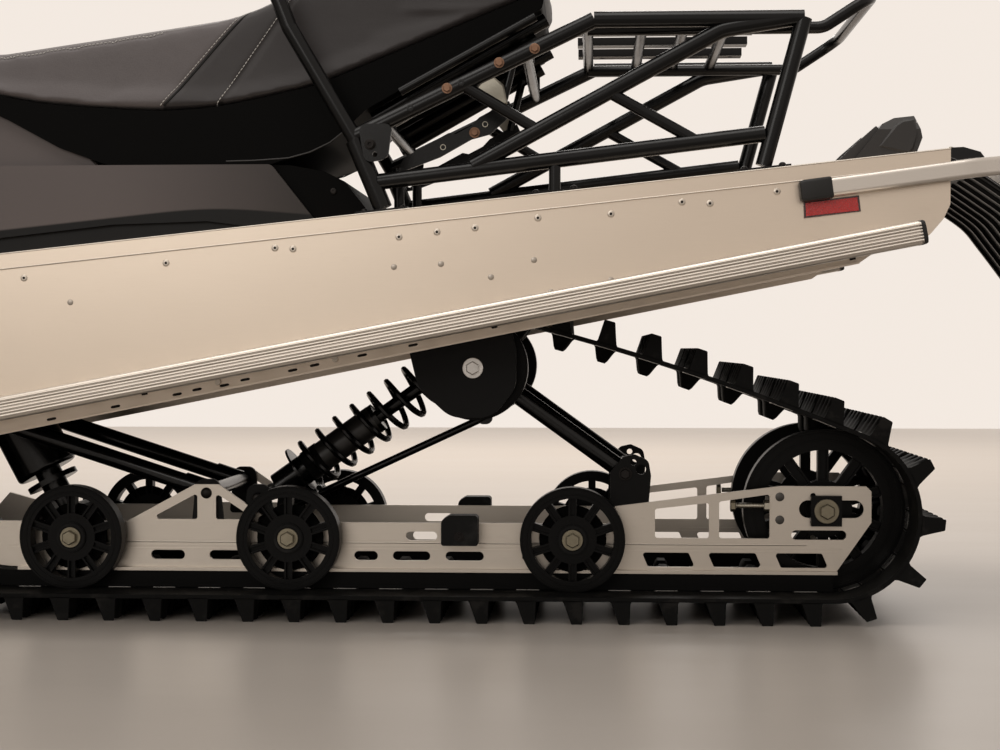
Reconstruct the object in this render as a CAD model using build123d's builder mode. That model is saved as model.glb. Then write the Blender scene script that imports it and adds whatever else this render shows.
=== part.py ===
from build123d import *
import os
from math import acos, atan2, cos, degrees, hypot, pi, radians, sin

# Long-track utility snowmobile. Millimetres, +X forward, +Y to the machine's left, +Z up, ground at Z = 0.
# Side outlines are lists of (x, z), with x measured forward from the rear axle.
REAR_AXLE_X = -1225.1  # rear axle from the middle of the machine's length

# Track
BELT_THICKNESS = 6.5
LUG_HEIGHT = 35.0
LUG_BASE = 31.0
LUG_FRONT_ANGLE = 70.0
LUG_REAR_ANGLE = 88.0
LUG_ROOT = 1.0  # depth of a lug's base inside the belt
DRIVE_LUG_DEPTH = 25.0
DRIVE_LUG_BASE = 38.0
DRIVE_LUG_ANGLE = 66.0
DRIVE_LUG_Y = (20.0, 66.0)
TRACK_WIDTH = 500.0
TRACK_PITCHES = 54
LUG_GAP = 22.0  # bare belt between two blocks of one row
BELT_INNER_Z = LUG_HEIGHT + BELT_THICKNESS

# Pulleys that the belt runs round, x from the rear axle
REAR_WHEEL_R = 127.0
REAR_AXLE_Z = BELT_INNER_Z + REAR_WHEEL_R
NOSE_X = 1290.0
NOSE_R = 260.0
DRIVE_AHEAD = 278.0  # drive axle ahead of the rails' bend
DRIVE_X = NOSE_X + DRIVE_AHEAD
DRIVE_Z = 335.0
DRIVE_R = 92.5
CARRIER_X = 549.0
CARRIER_Z = 394.0
CARRIER_R = 82.0
TOP_RUN_R = 3980.0  # radius of the upper run's bulge behind the carrier wheels

# Rear suspension
RAIL_Y = 155.0
RAIL_WEB = 6.0
RAIL_BOTTOM_Z = 72.5
RAIL_TOP_Z = 146.0
RAIL_FLANGE = 28.0
RAIL_BEAD = 1.2  # height of the fine ribs along the rail
SLIDER_WIDTH = 28.0
SLIDER_LIFT = 1.0  # from the belt to the slider
IDLER_R = 82.5
IDLER_WIDTH = 26.0
IDLER_GAP = 13.0  # from the rail's web to the wheel's inner face
IDLER_X = (NOSE_X - 95.0, 847.0, 398.0)
IDLER_STAGGER = 30.0  # the right-hand wheels sit this much further back
SHAFT_R = 9.0
REAR_WHEEL_Y = 116.0
REAR_WHEEL_WIDTH = 26.0
CARRIER_WHEEL_Y = 205.0
BRACKET_THICKNESS = 6.0
ARM_Y = 118.0
ARM_TUBE_R = 15.0

# Tunnel
TRACK_SIDE_GAP = 22.0  # from the belt's edge to the tunnel's wall
TUNNEL_WALL = 3.0
TUNNEL_HALF = TRACK_WIDTH / 2 + TRACK_SIDE_GAP + TUNNEL_WALL
TUNNEL_REAR_X = -168.0
TRACK_FRONT_GAP = 14.0  # from the lugs' tips to the tunnel's front end
TUNNEL_FRONT_X = DRIVE_X + DRIVE_R + BELT_INNER_Z + TRACK_FRONT_GAP
TUNNEL_REAR_Z = 724.0
TUNNEL_SLOPE = 0.1060  # fall of the top towards the front
STRIP_HEIGHT = 25.0
STRIP_PROUD = 2.0
FLANGE_WIDTH = 18.0

# Running boards
BOARD_OUTER_Y = TUNNEL_HALF + 157.0
EDGE_HEIGHT = 34.0
EDGE_WIDTH = 40.0
EDGE_CORNER = 7.0
GROOVE_DEPTH = 1.4
GROOVE_WIDTH = 1.6
GROOVE_PITCH = 3.4
GROOVES = 6
BOARD_REAR_X = -98.0
BOARD_FRONT_X = TUNNEL_FRONT_X - 156.0
BOARD_REAR_Z = 588.0  # middle of the edge tube at its rear end
BOARD_SLOPE = 0.1898
BOARD_THICKNESS = 4.0
GRIP_LENGTH = 42.0
GRIP_WIDTH = 24.0
GRIP_PITCH = 66.0

# Racks and frame tubes
TUBE_R = 12.5
STRUT_R = 9.0
RACK_Y = TUNNEL_HALF - 35.0
RACK_TOP_Z = 927.0

# Seat between the racks, and the covers under it
SEAT_HALF = RACK_Y - TUBE_R - 22.5
SEAT_BASE_HALF = SEAT_HALF - 13.0
COVER_HALF = SEAT_HALF - 9.0
COVER_TOP_Z = 714.0
SEAT_GAP = 0.4

# Front body
SHELL = 5.0
PANEL_GAP = 6.0
HOOD_REAR_X = TUNNEL_FRONT_X - 61.0
BODY_HALF = 352.0
SEAT_FRONT_X = HOOD_REAR_X - 135.0
COVER_FRONT_X = HOOD_REAR_X - 55.0

# Steering and skis
SKI_Y = 475.0
SPINDLE_X = HOOD_REAR_X + 575.0
SKI_WIDTH = 165.0
SKI_THICKNESS = 12.0
KEEL_HEIGHT = 26.0
KINGPIN_R = 10.0
EYE_R = 19.0
EYE_HEIGHT = 26.0
FIT = 0.3
LOWER_EYE_Z = 262.0
UPPER_EYE_Z = 402.0
POST_TOP = (HOOD_REAR_X - 95.0, 1075.0)
POST_FOOT = (HOOD_REAR_X + 183.0, 655.0)
POST_R = 13.0


def at(x, y, z):
    """Point in the part's frame from x measured forward of the rear axle."""
    return Vector(REAR_AXLE_X + x, y, z)


def side_plane(y):
    """Plane across the machine at y, its own x forward from the rear axle and its own y up."""
    return Plane(origin=at(0, y, 0), x_dir=(1, 0, 0), z_dir=(0, -1, 0))


def slab(outline, low_y, high_y, corner=0.0, mode=Mode.ADD):
    """Plate with a side outline of (x, z) corners, between two stations across the machine."""
    with BuildSketch(side_plane(high_y)) as face:
        with BuildLine():
            Polyline(*outline, close=True)
        make_face()
        if corner:
            fillet(face.vertices(), corner)
    extrude(face.sketch, amount=high_y - low_y, mode=mode)


def slot(x, z, length, height, low_y, high_y, tilt=0.0, mode=Mode.SUBTRACT):
    """Round-ended slot through a side plate."""
    with BuildSketch(side_plane(high_y)) as face:
        with Locations(Location((x, z), tilt)):
            SlotOverall(length, height)
    extrude(face.sketch, amount=high_y - low_y, mode=mode)


def rod(start, end, radius, mode=Mode.ADD):
    """Straight round bar between two points."""
    run = end - start
    with BuildSketch(Plane(origin=start, z_dir=run)) as disc:
        Circle(radius)
    extrude(disc.sketch, amount=run.length, mode=mode)


def cross_rod(x, z, low_y, high_y, radius, mode=Mode.ADD):
    """Round bar across the machine."""
    rod(at(x, low_y, z), at(x, high_y, z), radius, mode=mode)


def tube(points, radius, bend):
    """Round bar bent at each corner of a path."""
    with BuildLine() as path:
        if len(points) > 2:
            FilletPolyline(*points, radius=bend)
        else:
            Line(*points)
    with BuildSketch(Plane(origin=path.line @ 0, z_dir=path.line % 0)) as disc:
        Circle(radius)
    sweep(disc.sketch, path=path.line)


def rounded_face(plane, corners, outset=0.0):
    """Face on a plane with an outline of (x, y, corner radius), its sides moved outwards."""
    with BuildSketch(plane) as face:
        with BuildLine():
            FilletPolyline(*[(x, y) for x, y, r in corners], radius=[r for x, y, r in corners], close=True)
        make_face()
        if outset:
            offset(amount=outset, kind=Kind.INTERSECTION)
    return face.sketch


def front_plane(x):
    """Plane across the machine at x, its own x to the left and its own y up."""
    return Plane(origin=at(x, 0, 0), x_dir=(0, 1, 0), z_dir=(1, 0, 0))


def rounded_slab(corners, low_y, high_y, mode=Mode.ADD):
    """Plate with a side outline of (x, z, corner radius), between two stations across the machine."""
    extrude(rounded_face(side_plane(high_y), corners), amount=high_y - low_y, mode=mode)


def block(low, high, mode=Mode.ADD):
    """Box between two corners given as (x, y, z)."""
    slab([(low[0], low[2]), (high[0], low[2]), (high[0], high[2]), (low[0], high[2])], low[1], high[1], mode=mode)


RIB_WIDTH = 3.0
RIB_SHARE = 0.74  # width of the ribs and the hub's disc, as a share of the wheel's
WEB_SHARE = 0.3


def wheel(x, z, low_y, high_y, radius, rim, disc_r, hub_r, spokes, spoke_width, bore_r):
    """Spoked wheel across the machine: rim and hub, the hub's disc, and channel spokes with ribbed edges."""
    middle = (low_y + high_y) / 2
    width = high_y - low_y
    inner_r = radius - rim
    centre_r = (inner_r + disc_r) / 2
    length = inner_r - disc_r + 4
    with BuildSketch(side_plane(high_y)) as outer:
        with Locations((x, z)):
            Circle(radius)
            Circle(inner_r, mode=Mode.SUBTRACT)
            Circle(hub_r)
            Circle(bore_r, mode=Mode.SUBTRACT)
    extrude(outer.sketch, amount=width)
    with BuildSketch(side_plane(middle + width * RIB_SHARE / 2)) as ribs:
        with Locations((x, z)):
            Circle(disc_r)
            Circle(hub_r - 1, mode=Mode.SUBTRACT)
            with PolarLocations(centre_r, spokes, start_angle=90):
                with Locations((0, (spoke_width - RIB_WIDTH) / 2), (0, (RIB_WIDTH - spoke_width) / 2)):
                    Rectangle(length, RIB_WIDTH)
    extrude(ribs.sketch, amount=width * RIB_SHARE)
    with BuildSketch(side_plane(middle + width * WEB_SHARE / 2)) as web:
        with Locations((x, z)):
            with PolarLocations(centre_r, spokes, start_angle=90):
                Rectangle(length, spoke_width)
    extrude(web.sketch, amount=width * WEB_SHARE)


# Pivots of the suspension inside the track loop, as (x, z)
REAR_ARM_FOOT = (315.0, 225.0)
FRONT_ARM_FOOT = (985.6, 192.0)
FRONT_ARM_TOP = (DRIVE_X - 138.0, 335.5)
ARM_EYE_R = 20.0
REAR_SHOCK_FOOT = (903.0, 184.0)
REAR_SHOCK_HEAD = (610.0, 393.0)
FRONT_SHOCK_FOOT = (NOSE_X - 31.0, 149.0)
FRONT_SHOCK_HEAD = (FRONT_ARM_TOP[0] - 42.0, 392.0)
PLATE = 6.0
LINK_PIN = (893.0, 148.0)
LINK_HEAD = (552.0, 306.0)
LINK_Y = 62.0
LINK_R = 6.5

# Belt path. Each pulley is (x, z, radius), in the order that the ground run takes towards the front.
PULLEYS = [
    (0.0, REAR_AXLE_Z, REAR_WHEEL_R),
    (NOSE_X, BELT_INNER_Z + NOSE_R, NOSE_R),
    (DRIVE_X, DRIVE_Z, DRIVE_R),
    (CARRIER_X, CARRIER_Z, CARRIER_R),
]


def bulge_centre(first, last, radius):
    """Centre of the large arc that lies against two pulleys from outside, below their line."""
    reach_1 = radius - first[2]
    reach_2 = radius - last[2]
    dx = last[0] - first[0]
    dz = last[1] - first[1]
    span = hypot(dx, dz)
    along = (reach_1 ** 2 - reach_2 ** 2 + span ** 2) / (2 * span)
    across = (reach_1 ** 2 - along ** 2) ** 0.5
    ux, uz = dx / span, dz / span
    return (first[0] + along * ux - across * uz, first[1] + along * uz + across * ux, radius)


BULGE = bulge_centre(PULLEYS[3], PULLEYS[0], TOP_RUN_R)


def leaving_angle(first, last):
    """Angle of the belt's outward side where it leaves one pulley straight for the next."""
    dx = last[0] - first[0]
    dz = last[1] - first[1]
    return atan2(dz, dx) - acos((first[2] - last[2]) / hypot(dx, dz))


def angle_from(centre, point):
    """Angle of a point seen from a centre."""
    return atan2(point[1] - centre[1], point[0] - centre[0])


def belt_arcs():
    """Arcs of the belt's path as (x, z, radius, start angle, turn), with straight runs between them."""
    leave = [leaving_angle(PULLEYS[i], PULLEYS[i + 1]) for i in range(3)]
    over = angle_from(BULGE, PULLEYS[3])
    down = angle_from(BULGE, PULLEYS[0])
    stations = [
        (PULLEYS[0], down, leave[0]),
        (PULLEYS[1], leave[0], leave[1]),
        (PULLEYS[2], leave[1], leave[2]),
        (PULLEYS[3], leave[2], over),
        (BULGE, over, down),
    ]
    return [(c[0], c[1], c[2], start, (stop - start) % (2 * pi)) for c, start, stop in stations]


def on_circle(x, z, radius, angle):
    """Point on a circle in a side view."""
    return (x + radius * cos(angle), z + radius * sin(angle))


def belt_outline(outset):
    """Closed side outline of the belt's path, moved outwards. Call it inside a line builder."""
    arcs = belt_arcs()
    for arc, following in zip(arcs, arcs[1:] + arcs[:1]):
        x, z, radius, start, turn = arc
        CenterArc((x, z), radius + outset, degrees(start), degrees(turn))
        end = on_circle(x, z, radius + outset, start + turn)
        begin = on_circle(following[0], following[1], following[2] + outset, following[3])
        if hypot(begin[0] - end[0], begin[1] - end[1]) > 0.01:
            Line(end, begin)


def belt_stations(count, outset, phase):
    """Evenly spaced places along the belt as (x, z, outward angle)."""
    arcs = belt_arcs()
    runs = []
    for arc, following in zip(arcs, arcs[1:] + arcs[:1]):
        x, z, radius, start, turn = arc
        runs.append(("arc", arc, radius * turn))
        end = on_circle(x, z, radius, start + turn)
        begin = on_circle(following[0], following[1], following[2], following[3])
        runs.append(("line", (end, begin, start + turn), hypot(begin[0] - end[0], begin[1] - end[1])))
    length = sum(run[2] for run in runs)
    places = []
    for index in range(count):
        left = (index + phase) / count * length
        for kind, data, size in runs:
            if left > size:
                left -= size
                continue
            if kind == "arc":
                x, z, radius, start, turn = data
                angle = start + left / radius
                px, pz = on_circle(x, z, radius + outset, angle)
            else:
                (x0, z0), (x1, z1), angle = data
                share = left / size
                px = x0 + (x1 - x0) * share + outset * cos(angle)
                pz = z0 + (z1 - z0) * share + outset * sin(angle)
            places.append((px, pz, angle))
            break
    return places


# Blocks of one row of lugs: (low y, high y)
LUG_BLOCKS = [
    (-TRACK_WIDTH / 2, -TRACK_WIDTH / 6 - LUG_GAP / 2),
    (-TRACK_WIDTH / 6 + LUG_GAP / 2, TRACK_WIDTH / 6 - LUG_GAP / 2),
    (TRACK_WIDTH / 6 + LUG_GAP / 2, TRACK_WIDTH / 2),
]
ROW_PHASE = 0.25  # place of the first row, as a share of one pitch

with BuildPart() as track:
    with BuildSketch(side_plane(TRACK_WIDTH / 2)):
        with BuildLine():
            belt_outline(BELT_THICKNESS)
        make_face()
        with BuildLine():
            belt_outline(0.0)
        make_face(mode=Mode.SUBTRACT)
    extrude(amount=TRACK_WIDTH)
    for low_y, high_y in LUG_BLOCKS:
        with BuildSketch(side_plane(high_y)) as lugs:
            for x, z, angle in belt_stations(TRACK_PITCHES, BELT_THICKNESS - LUG_ROOT, ROW_PHASE):
                with Locations(Location((x, z), degrees(angle) - 90)):
                    Trapezoid(LUG_BASE, LUG_HEIGHT + LUG_ROOT, LUG_FRONT_ANGLE, LUG_REAR_ANGLE,
                              align=(Align.CENTER, Align.MIN))
        extrude(lugs.sketch, amount=high_y - low_y)
    for side in (1, -1):
        low_y, high_y = sorted(side * y for y in DRIVE_LUG_Y)
        with BuildSketch(side_plane(high_y)) as drive_lugs:
            for x, z, angle in belt_stations(TRACK_PITCHES, LUG_ROOT, ROW_PHASE):
                with Locations(Location((x, z), degrees(angle) + 90)):
                    Trapezoid(DRIVE_LUG_BASE, DRIVE_LUG_DEPTH + LUG_ROOT, DRIVE_LUG_ANGLE,
                              align=(Align.CENTER, Align.MIN))
        extrude(drive_lugs.sketch, amount=high_y - low_y)
track.part.label = "track"

# Rails: side outline behind the bend at the nose, then windows
RAIL_REAR_X = -71.0
TRUSS_TOP_Z = 207.0
TRUSS_FRONT_X = 331.0
CHORD_Z = 124.0
NOSE_CENTRE = (NOSE_X, BELT_INNER_Z + NOSE_R)
NOSE_SWEEP = 42.0
NOSE_DEPTH = 46.0  # rail's depth round the bend
NOSE_EDGE_R = NOSE_R - (RAIL_BOTTOM_Z - BELT_INNER_Z)
RAIL_BACK = [
    (NOSE_X + 50.0, RAIL_TOP_Z),
    (NOSE_X - 175.0, RAIL_TOP_Z),
    (1004.0, 206.0),
    (966.0, 206.0),
    (880.0, RAIL_TOP_Z),
    (TRUSS_FRONT_X + 12.0, RAIL_TOP_Z),
    (TRUSS_FRONT_X, 174.0),
    (72.0, TRUSS_TOP_Z),
    (RAIL_REAR_X + 8.0, TRUSS_TOP_Z),
    (RAIL_REAR_X, TRUSS_TOP_Z - 8.0),
    (RAIL_REAR_X, 150.0),
    (-17.0, RAIL_BOTTOM_Z),
]
TRUSS_WINDOWS = [
    [(268.0, CHORD_Z), (268.0, 170.0), (183.0, 180.0), (183.0, CHORD_Z)],
    [(167.0, CHORD_Z), (167.0, 182.0), (88.0, 194.0), (88.0, CHORD_Z)],
    [(1078.0, 150.0), (1000.0, 192.0), (1000.0, 150.0)],
    [(970.0, 192.0), (970.0, 150.0), (906.0, 150.0)],
]
LOWER_SLOTS = [(1048.0, 55.0), (952.0, 57.0), (728.0, 38.0), (655.0, 60.0), (570.0, 61.0)]
LOWER_WINDOWS = [(289.0, 205.0), (185.0, 100.0), (80.0, -4.0)]
BEAD_Z = (103.0, 108.5)
BEAD_WIDTH = 2.2
RAIL_HOLES = [(474.0, 92.0, 4.5), (20.0, 192.0, 4.5), (20.0, 150.0, 4.5)]

with BuildPart() as left_rail:
    with BuildSketch(side_plane(RAIL_Y + RAIL_WEB / 2)) as face:
        with BuildLine():
            CenterArc(NOSE_CENTRE, NOSE_EDGE_R, -90, NOSE_SWEEP)
            tip = on_circle(*NOSE_CENTRE, NOSE_EDGE_R, radians(NOSE_SWEEP - 90))
            heel = on_circle(*NOSE_CENTRE, NOSE_EDGE_R - NOSE_DEPTH, radians(NOSE_SWEEP - 90))
            Polyline(tip, heel, *RAIL_BACK, (NOSE_X, RAIL_BOTTOM_Z))
        make_face()
    extrude(face.sketch, amount=RAIL_WEB)
    bead_y = RAIL_WEB / 2 + RAIL_BEAD
    for z in BEAD_Z:
        block((RAIL_REAR_X + 45, RAIL_Y - bead_y, z - BEAD_WIDTH / 2), (NOSE_X + 20, RAIL_Y + bead_y, z + BEAD_WIDTH / 2))
    for outline in TRUSS_WINDOWS:
        slab(outline, RAIL_Y - RAIL_WEB, RAIL_Y + RAIL_WEB, corner=4.0, mode=Mode.SUBTRACT)
    for front_x, rear_x in LOWER_WINDOWS:
        slab(
            [(front_x - 10, 78.0), (front_x, 101.0), (rear_x + 10, 101.0), (rear_x, 78.0)],
            RAIL_Y - RAIL_WEB, RAIL_Y + RAIL_WEB, corner=4.0, mode=Mode.SUBTRACT,
        )
    for x, length in LOWER_SLOTS:
        slot(x, 93.0, length, 15.0, RAIL_Y - RAIL_WEB, RAIL_Y + RAIL_WEB)
    slot(639.0, 125.0, 50.0, 14.0, RAIL_Y - RAIL_WEB, RAIL_Y + RAIL_WEB)
    slot(-8.5, 171.0, 101.0, 28.0, RAIL_Y - RAIL_WEB, RAIL_Y + RAIL_WEB)
    slot(11.0, 130.0, 86.0, 15.0, RAIL_Y - RAIL_WEB, RAIL_Y + RAIL_WEB)
    for x, z, radius in RAIL_HOLES:
        cross_rod(x, z, RAIL_Y - RAIL_WEB, RAIL_Y + RAIL_WEB, radius, mode=Mode.SUBTRACT)
    slab(
        [(-17.0, RAIL_BOTTOM_Z - 4.0), (NOSE_X, RAIL_BOTTOM_Z - 4.0), (NOSE_X, RAIL_BOTTOM_Z + 1.0),
         (-17.0, RAIL_BOTTOM_Z + 1.0)],
        RAIL_Y - RAIL_FLANGE / 2, RAIL_Y + RAIL_FLANGE / 2,
    )
left_rail.part.label = "left_rail"

with BuildPart() as right_rail:
    mirror(left_rail.part, about=Plane.XZ)
right_rail.part.label = "right_rail"

SLIDER_REAR_X = -10.0
with BuildPart() as sliders:
    low_r = NOSE_R - SLIDER_LIFT
    high_r = NOSE_EDGE_R + 4.3
    with BuildSketch(side_plane(RAIL_Y + SLIDER_WIDTH / 2)) as face:
        with BuildLine():
            CenterArc(NOSE_CENTRE, low_r, -90, NOSE_SWEEP)
            Line(on_circle(*NOSE_CENTRE, low_r, radians(NOSE_SWEEP - 90)),
                 on_circle(*NOSE_CENTRE, high_r, radians(NOSE_SWEEP - 90)))
            CenterArc(NOSE_CENTRE, high_r, NOSE_SWEEP - 90, -NOSE_SWEEP)
            Polyline((NOSE_X, NOSE_CENTRE[1] - high_r), (SLIDER_REAR_X, NOSE_CENTRE[1] - high_r),
                     (SLIDER_REAR_X, NOSE_CENTRE[1] - low_r), (NOSE_X, NOSE_CENTRE[1] - low_r))
        make_face()
    extrude(face.sketch, amount=SLIDER_WIDTH)
    mirror(about=Plane.XZ)
sliders.part.label = "sliders"

IDLER_FORM = {"rim": 17.5, "disc_r": 38.0, "hub_r": 24.0, "spokes": 10, "spoke_width": 13.0}
REAR_FORM = {"rim": 33.0, "disc_r": 46.0, "hub_r": 28.0, "spokes": 10, "spoke_width": 17.0}
WHEEL_BORE_R = SHAFT_R + FIT
with BuildPart() as idler_wheels:
    for side, shift in ((1, 0.0), (-1, IDLER_STAGGER)):
        inner = RAIL_Y + RAIL_WEB / 2 + IDLER_GAP
        low, high = sorted((side * inner, side * (inner + IDLER_WIDTH)))
        for x in IDLER_X:
            wheel(x - shift, BELT_INNER_Z + IDLER_R, low, high, IDLER_R, bore_r=WHEEL_BORE_R, **IDLER_FORM)
        low = side * CARRIER_WHEEL_Y - IDLER_WIDTH / 2
        wheel(CARRIER_X, CARRIER_Z, low, low + IDLER_WIDTH, CARRIER_R, bore_r=WHEEL_BORE_R, **IDLER_FORM)
idler_wheels.part.label = "idler_wheels"

with BuildPart() as rear_wheels:
    for side in (1, -1):
        low = side * REAR_WHEEL_Y - REAR_WHEEL_WIDTH / 2
        wheel(0.0, REAR_AXLE_Z, low, low + REAR_WHEEL_WIDTH, REAR_WHEEL_R, bore_r=WHEEL_BORE_R, **REAR_FORM)
rear_wheels.part.label = "rear_wheels"

# Shafts, the plates on the rails' inner sides that carry the arms, and the blocks that tighten the rear axle
ADJUSTER_HALF = 24.0
ADJUSTER_WIDTH = 9.0
STOP_PLATE = [
    (280.0, 150.0, 4), (340.0, 150.0, 4), (338.0, 228.0, 12), (318.0, 252.0, 10), (300.0, 256.0, 9),
    (278.0, 246.0, 12), (274.0, 222.0, 12),
]
STOP_HOLES = [(290.0, 232.0, 8.0), (302.0, 243.0, 4.8)]
FRONT_PLATE = [(958.0, 132.0, 6), (1012.0, 132.0, 6), (1004.0, 214.0, 14), (966.0, 214.0, 14)]
SHOCK_PLATE = [(872.0, 120.0, 6), (930.0, 120.0, 6), (920.0, 206.0, 14), (886.0, 206.0, 14)]
BRACKET_FOOT = [(-24.0, 90.0, 6), (24.0, 90.0, 6), (17.0, 170.0, 14), (-17.0, 170.0, 14)]
with BuildPart() as skid_shafts:
    for side, shift in ((1, 0.0), (-1, IDLER_STAGGER)):
        for x in IDLER_X:
            low, high = sorted((side * (RAIL_Y + RAIL_WEB / 2), side * (RAIL_Y + IDLER_GAP + IDLER_WIDTH + 12)))
            cross_rod(x - shift, BELT_INNER_Z + IDLER_R, low, high, SHAFT_R)
    cross_rod(0.0, REAR_AXLE_Z, -RAIL_Y - 20, RAIL_Y + 20, SHAFT_R)
    plate_face = RAIL_Y - RAIL_WEB / 2 - RAIL_BEAD - FIT
    for side in (1, -1):
        low, high = sorted((side * plate_face, side * (plate_face - PLATE)))
        rounded_slab(STOP_PLATE, low, high)
        for x, z, radius in STOP_HOLES:
            cross_rod(x, z, low - 1, high + 1, radius, mode=Mode.SUBTRACT)
        rounded_slab(FRONT_PLATE, low, high)
        rounded_slab(SHOCK_PLATE, low, high)
        rounded_slab([(FRONT_SHOCK_FOOT[0] + x, z, r) for x, z, r in BRACKET_FOOT], low, high)
        outer = RAIL_Y + RAIL_WEB / 2 + FIT
        low, high = sorted((side * outer, side * (outer + ADJUSTER_WIDTH)))
        block((-ADJUSTER_HALF, low, REAR_AXLE_Z - ADJUSTER_HALF), (ADJUSTER_HALF, high, REAR_AXLE_Z + ADJUSTER_HALF))
    inner = plate_face - PLATE
    for x, z, radius in ((*REAR_SHOCK_FOOT, SHAFT_R), (*FRONT_SHOCK_FOOT, SHAFT_R), (*LINK_PIN, SHAFT_R - 1)):
        cross_rod(x, z, -inner - 1, inner + 1, radius)
skid_shafts.part.label = "skid_shafts"

# Plates that hold the carrier wheels under the tunnel: (x, z, corner radius) from the shaft
BRACKET_HIGH_Y = TUNNEL_HALF - TUNNEL_WALL - FIT
CARRIER_PLATE = [
    (-52.0, 90.0, 4), (-66.0, 30.0, 20), (-66.0, -30.0, 40), (-30.0, -76.0, 44), (34.0, -76.0, 44), (84.0, -30.0, 44),
    (97.0, 24.0, 12), (72.0, 72.0, 12), (60.0, 90.0, 4),
]

with BuildPart() as carrier_brackets:
    for side in (1, -1):
        low, high = sorted((side * BRACKET_HIGH_Y, side * (BRACKET_HIGH_Y - BRACKET_THICKNESS)))
        rounded_slab([(CARRIER_X + x, CARRIER_Z + z, r) for x, z, r in CARRIER_PLATE], low, high)
    cross_rod(CARRIER_X, CARRIER_Z, -BRACKET_HIGH_Y, BRACKET_HIGH_Y, SHAFT_R)
carrier_brackets.part.label = "carrier_brackets"

# Suspension arms and shocks inside the track loop
ARM_FOOT_Y = plate_face - PLATE - FIT
SLEEVE_R = ARM_TUBE_R + 3.5
CRANK_HALF = 9.0
with BuildPart() as rear_arm:
    cross_rod(CARRIER_X, CARRIER_Z, -ARM_Y - 20, ARM_Y + 20, ARM_EYE_R)
    for side in (1, -1):
        pivot = at(CARRIER_X, side * ARM_Y, CARRIER_Z)
        foot = at(REAR_ARM_FOOT[0], side * ARM_Y, REAR_ARM_FOOT[1])
        rod(pivot, foot, ARM_TUBE_R)
        rod(pivot, pivot + (foot - pivot) * 0.24, SLEEVE_R)
        low = side * 40.0 - PLATE / 2
        rounded_slab([(CARRIER_X - 12, CARRIER_Z + 17, 8), (CARRIER_X - 12, CARRIER_Z - 17, 8),
                      (REAR_SHOCK_HEAD[0] + 17, REAR_SHOCK_HEAD[1] - 16, 14),
                      (REAR_SHOCK_HEAD[0] + 17, REAR_SHOCK_HEAD[1] + 16, 14)], low, low + PLATE)
    cross_rod(REAR_ARM_FOOT[0], REAR_ARM_FOOT[1], -ARM_FOOT_Y, ARM_FOOT_Y, ARM_TUBE_R - 2)
    cross_rod(REAR_SHOCK_HEAD[0], REAR_SHOCK_HEAD[1], -44, 44, SHAFT_R)
    rounded_slab([(CARRIER_X - 16, CARRIER_Z, 4), (LINK_HEAD[0] - 13, LINK_HEAD[1] - 12, 11),
                  (LINK_HEAD[0] + 13, LINK_HEAD[1] - 12, 11), (CARRIER_X + 18, CARRIER_Z, 4)],
                 -LINK_Y - CRANK_HALF / 2, -LINK_Y + CRANK_HALF / 2)
    rod(at(LINK_HEAD[0], -LINK_Y, LINK_HEAD[1]), at(LINK_PIN[0], -LINK_Y, LINK_PIN[1]), LINK_R)
    cross_rod(*LINK_PIN, -LINK_Y - 9, -LINK_Y + 9, SHAFT_R + 5)
    cross_rod(*LINK_PIN, -RAIL_Y, 0, SHAFT_R - 1 + FIT, mode=Mode.SUBTRACT)
    cross_rod(CARRIER_X, CARRIER_Z, -RAIL_Y, RAIL_Y, SHAFT_R + FIT, mode=Mode.SUBTRACT)
rear_arm.part.label = "rear_arm"

with BuildPart() as front_arm:
    for side in (1, -1):
        top = at(FRONT_ARM_TOP[0], side * ARM_Y, FRONT_ARM_TOP[1])
        foot = at(FRONT_ARM_FOOT[0], side * ARM_Y, FRONT_ARM_FOOT[1])
        rod(top, foot, ARM_TUBE_R - 1)
        rod(foot, foot + (top - foot) * 0.1, SLEEVE_R - 2)
        low = side * ARM_Y - PLATE / 2
        rounded_slab([(FRONT_ARM_TOP[0] - 110, 300.0, 6), (*FRONT_ARM_TOP, 10), (FRONT_SHOCK_HEAD[0] + 18, 396.0, 12),
                      (FRONT_SHOCK_HEAD[0] - 16, 404.0, 10)], low, low + PLATE)
    cross_rod(*FRONT_ARM_TOP, -BRACKET_HIGH_Y, BRACKET_HIGH_Y, ARM_TUBE_R)
    cross_rod(*FRONT_ARM_FOOT, -ARM_FOOT_Y, ARM_FOOT_Y, ARM_TUBE_R - 3)
    cross_rod(*FRONT_SHOCK_HEAD, -ARM_Y, ARM_Y, SHAFT_R)
front_arm.part.label = "front_arm"

WIRE_SIDES = 8
SEAT_THICKNESS = 4.0
BODY_SHARE = 0.6  # shares of the way from a shock's lower eye to its upper one
LOW_SEAT = 0.16
HIGH_SEAT = 0.89


def coil_spring(start, end, radius, wire_r, turns):
    """Open coil of eight-sided wire along the line between two points."""
    run = end - start
    with BuildLine() as path:
        Helix(pitch=run.length / turns, height=run.length, radius=radius, center=start, direction=run)
    with BuildSketch(Plane(origin=path.line @ 0, z_dir=path.line % 0)) as wire:
        RegularPolygon(wire_r, WIRE_SIDES)
    sweep(wire.sketch, path=path.line, is_frenet=True)


def damper(foot, head, eye_axis, body_r, pin_r):
    """Shock absorber's body and rod between two bored eyes."""
    run = head - foot
    eye_r = pin_r + 5
    half = eye_axis * (body_r * 0.8)
    rod(foot + run.normalized() * eye_r * 0.6, foot + run * BODY_SHARE, body_r)
    rod(foot + run * 0.5, head, body_r * 0.45)
    for eye in (foot, head):
        rod(eye - half, eye + half, eye_r)
    for eye in (foot, head):
        rod(eye - half * 2, eye + half * 2, pin_r + FIT, mode=Mode.SUBTRACT)


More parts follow.
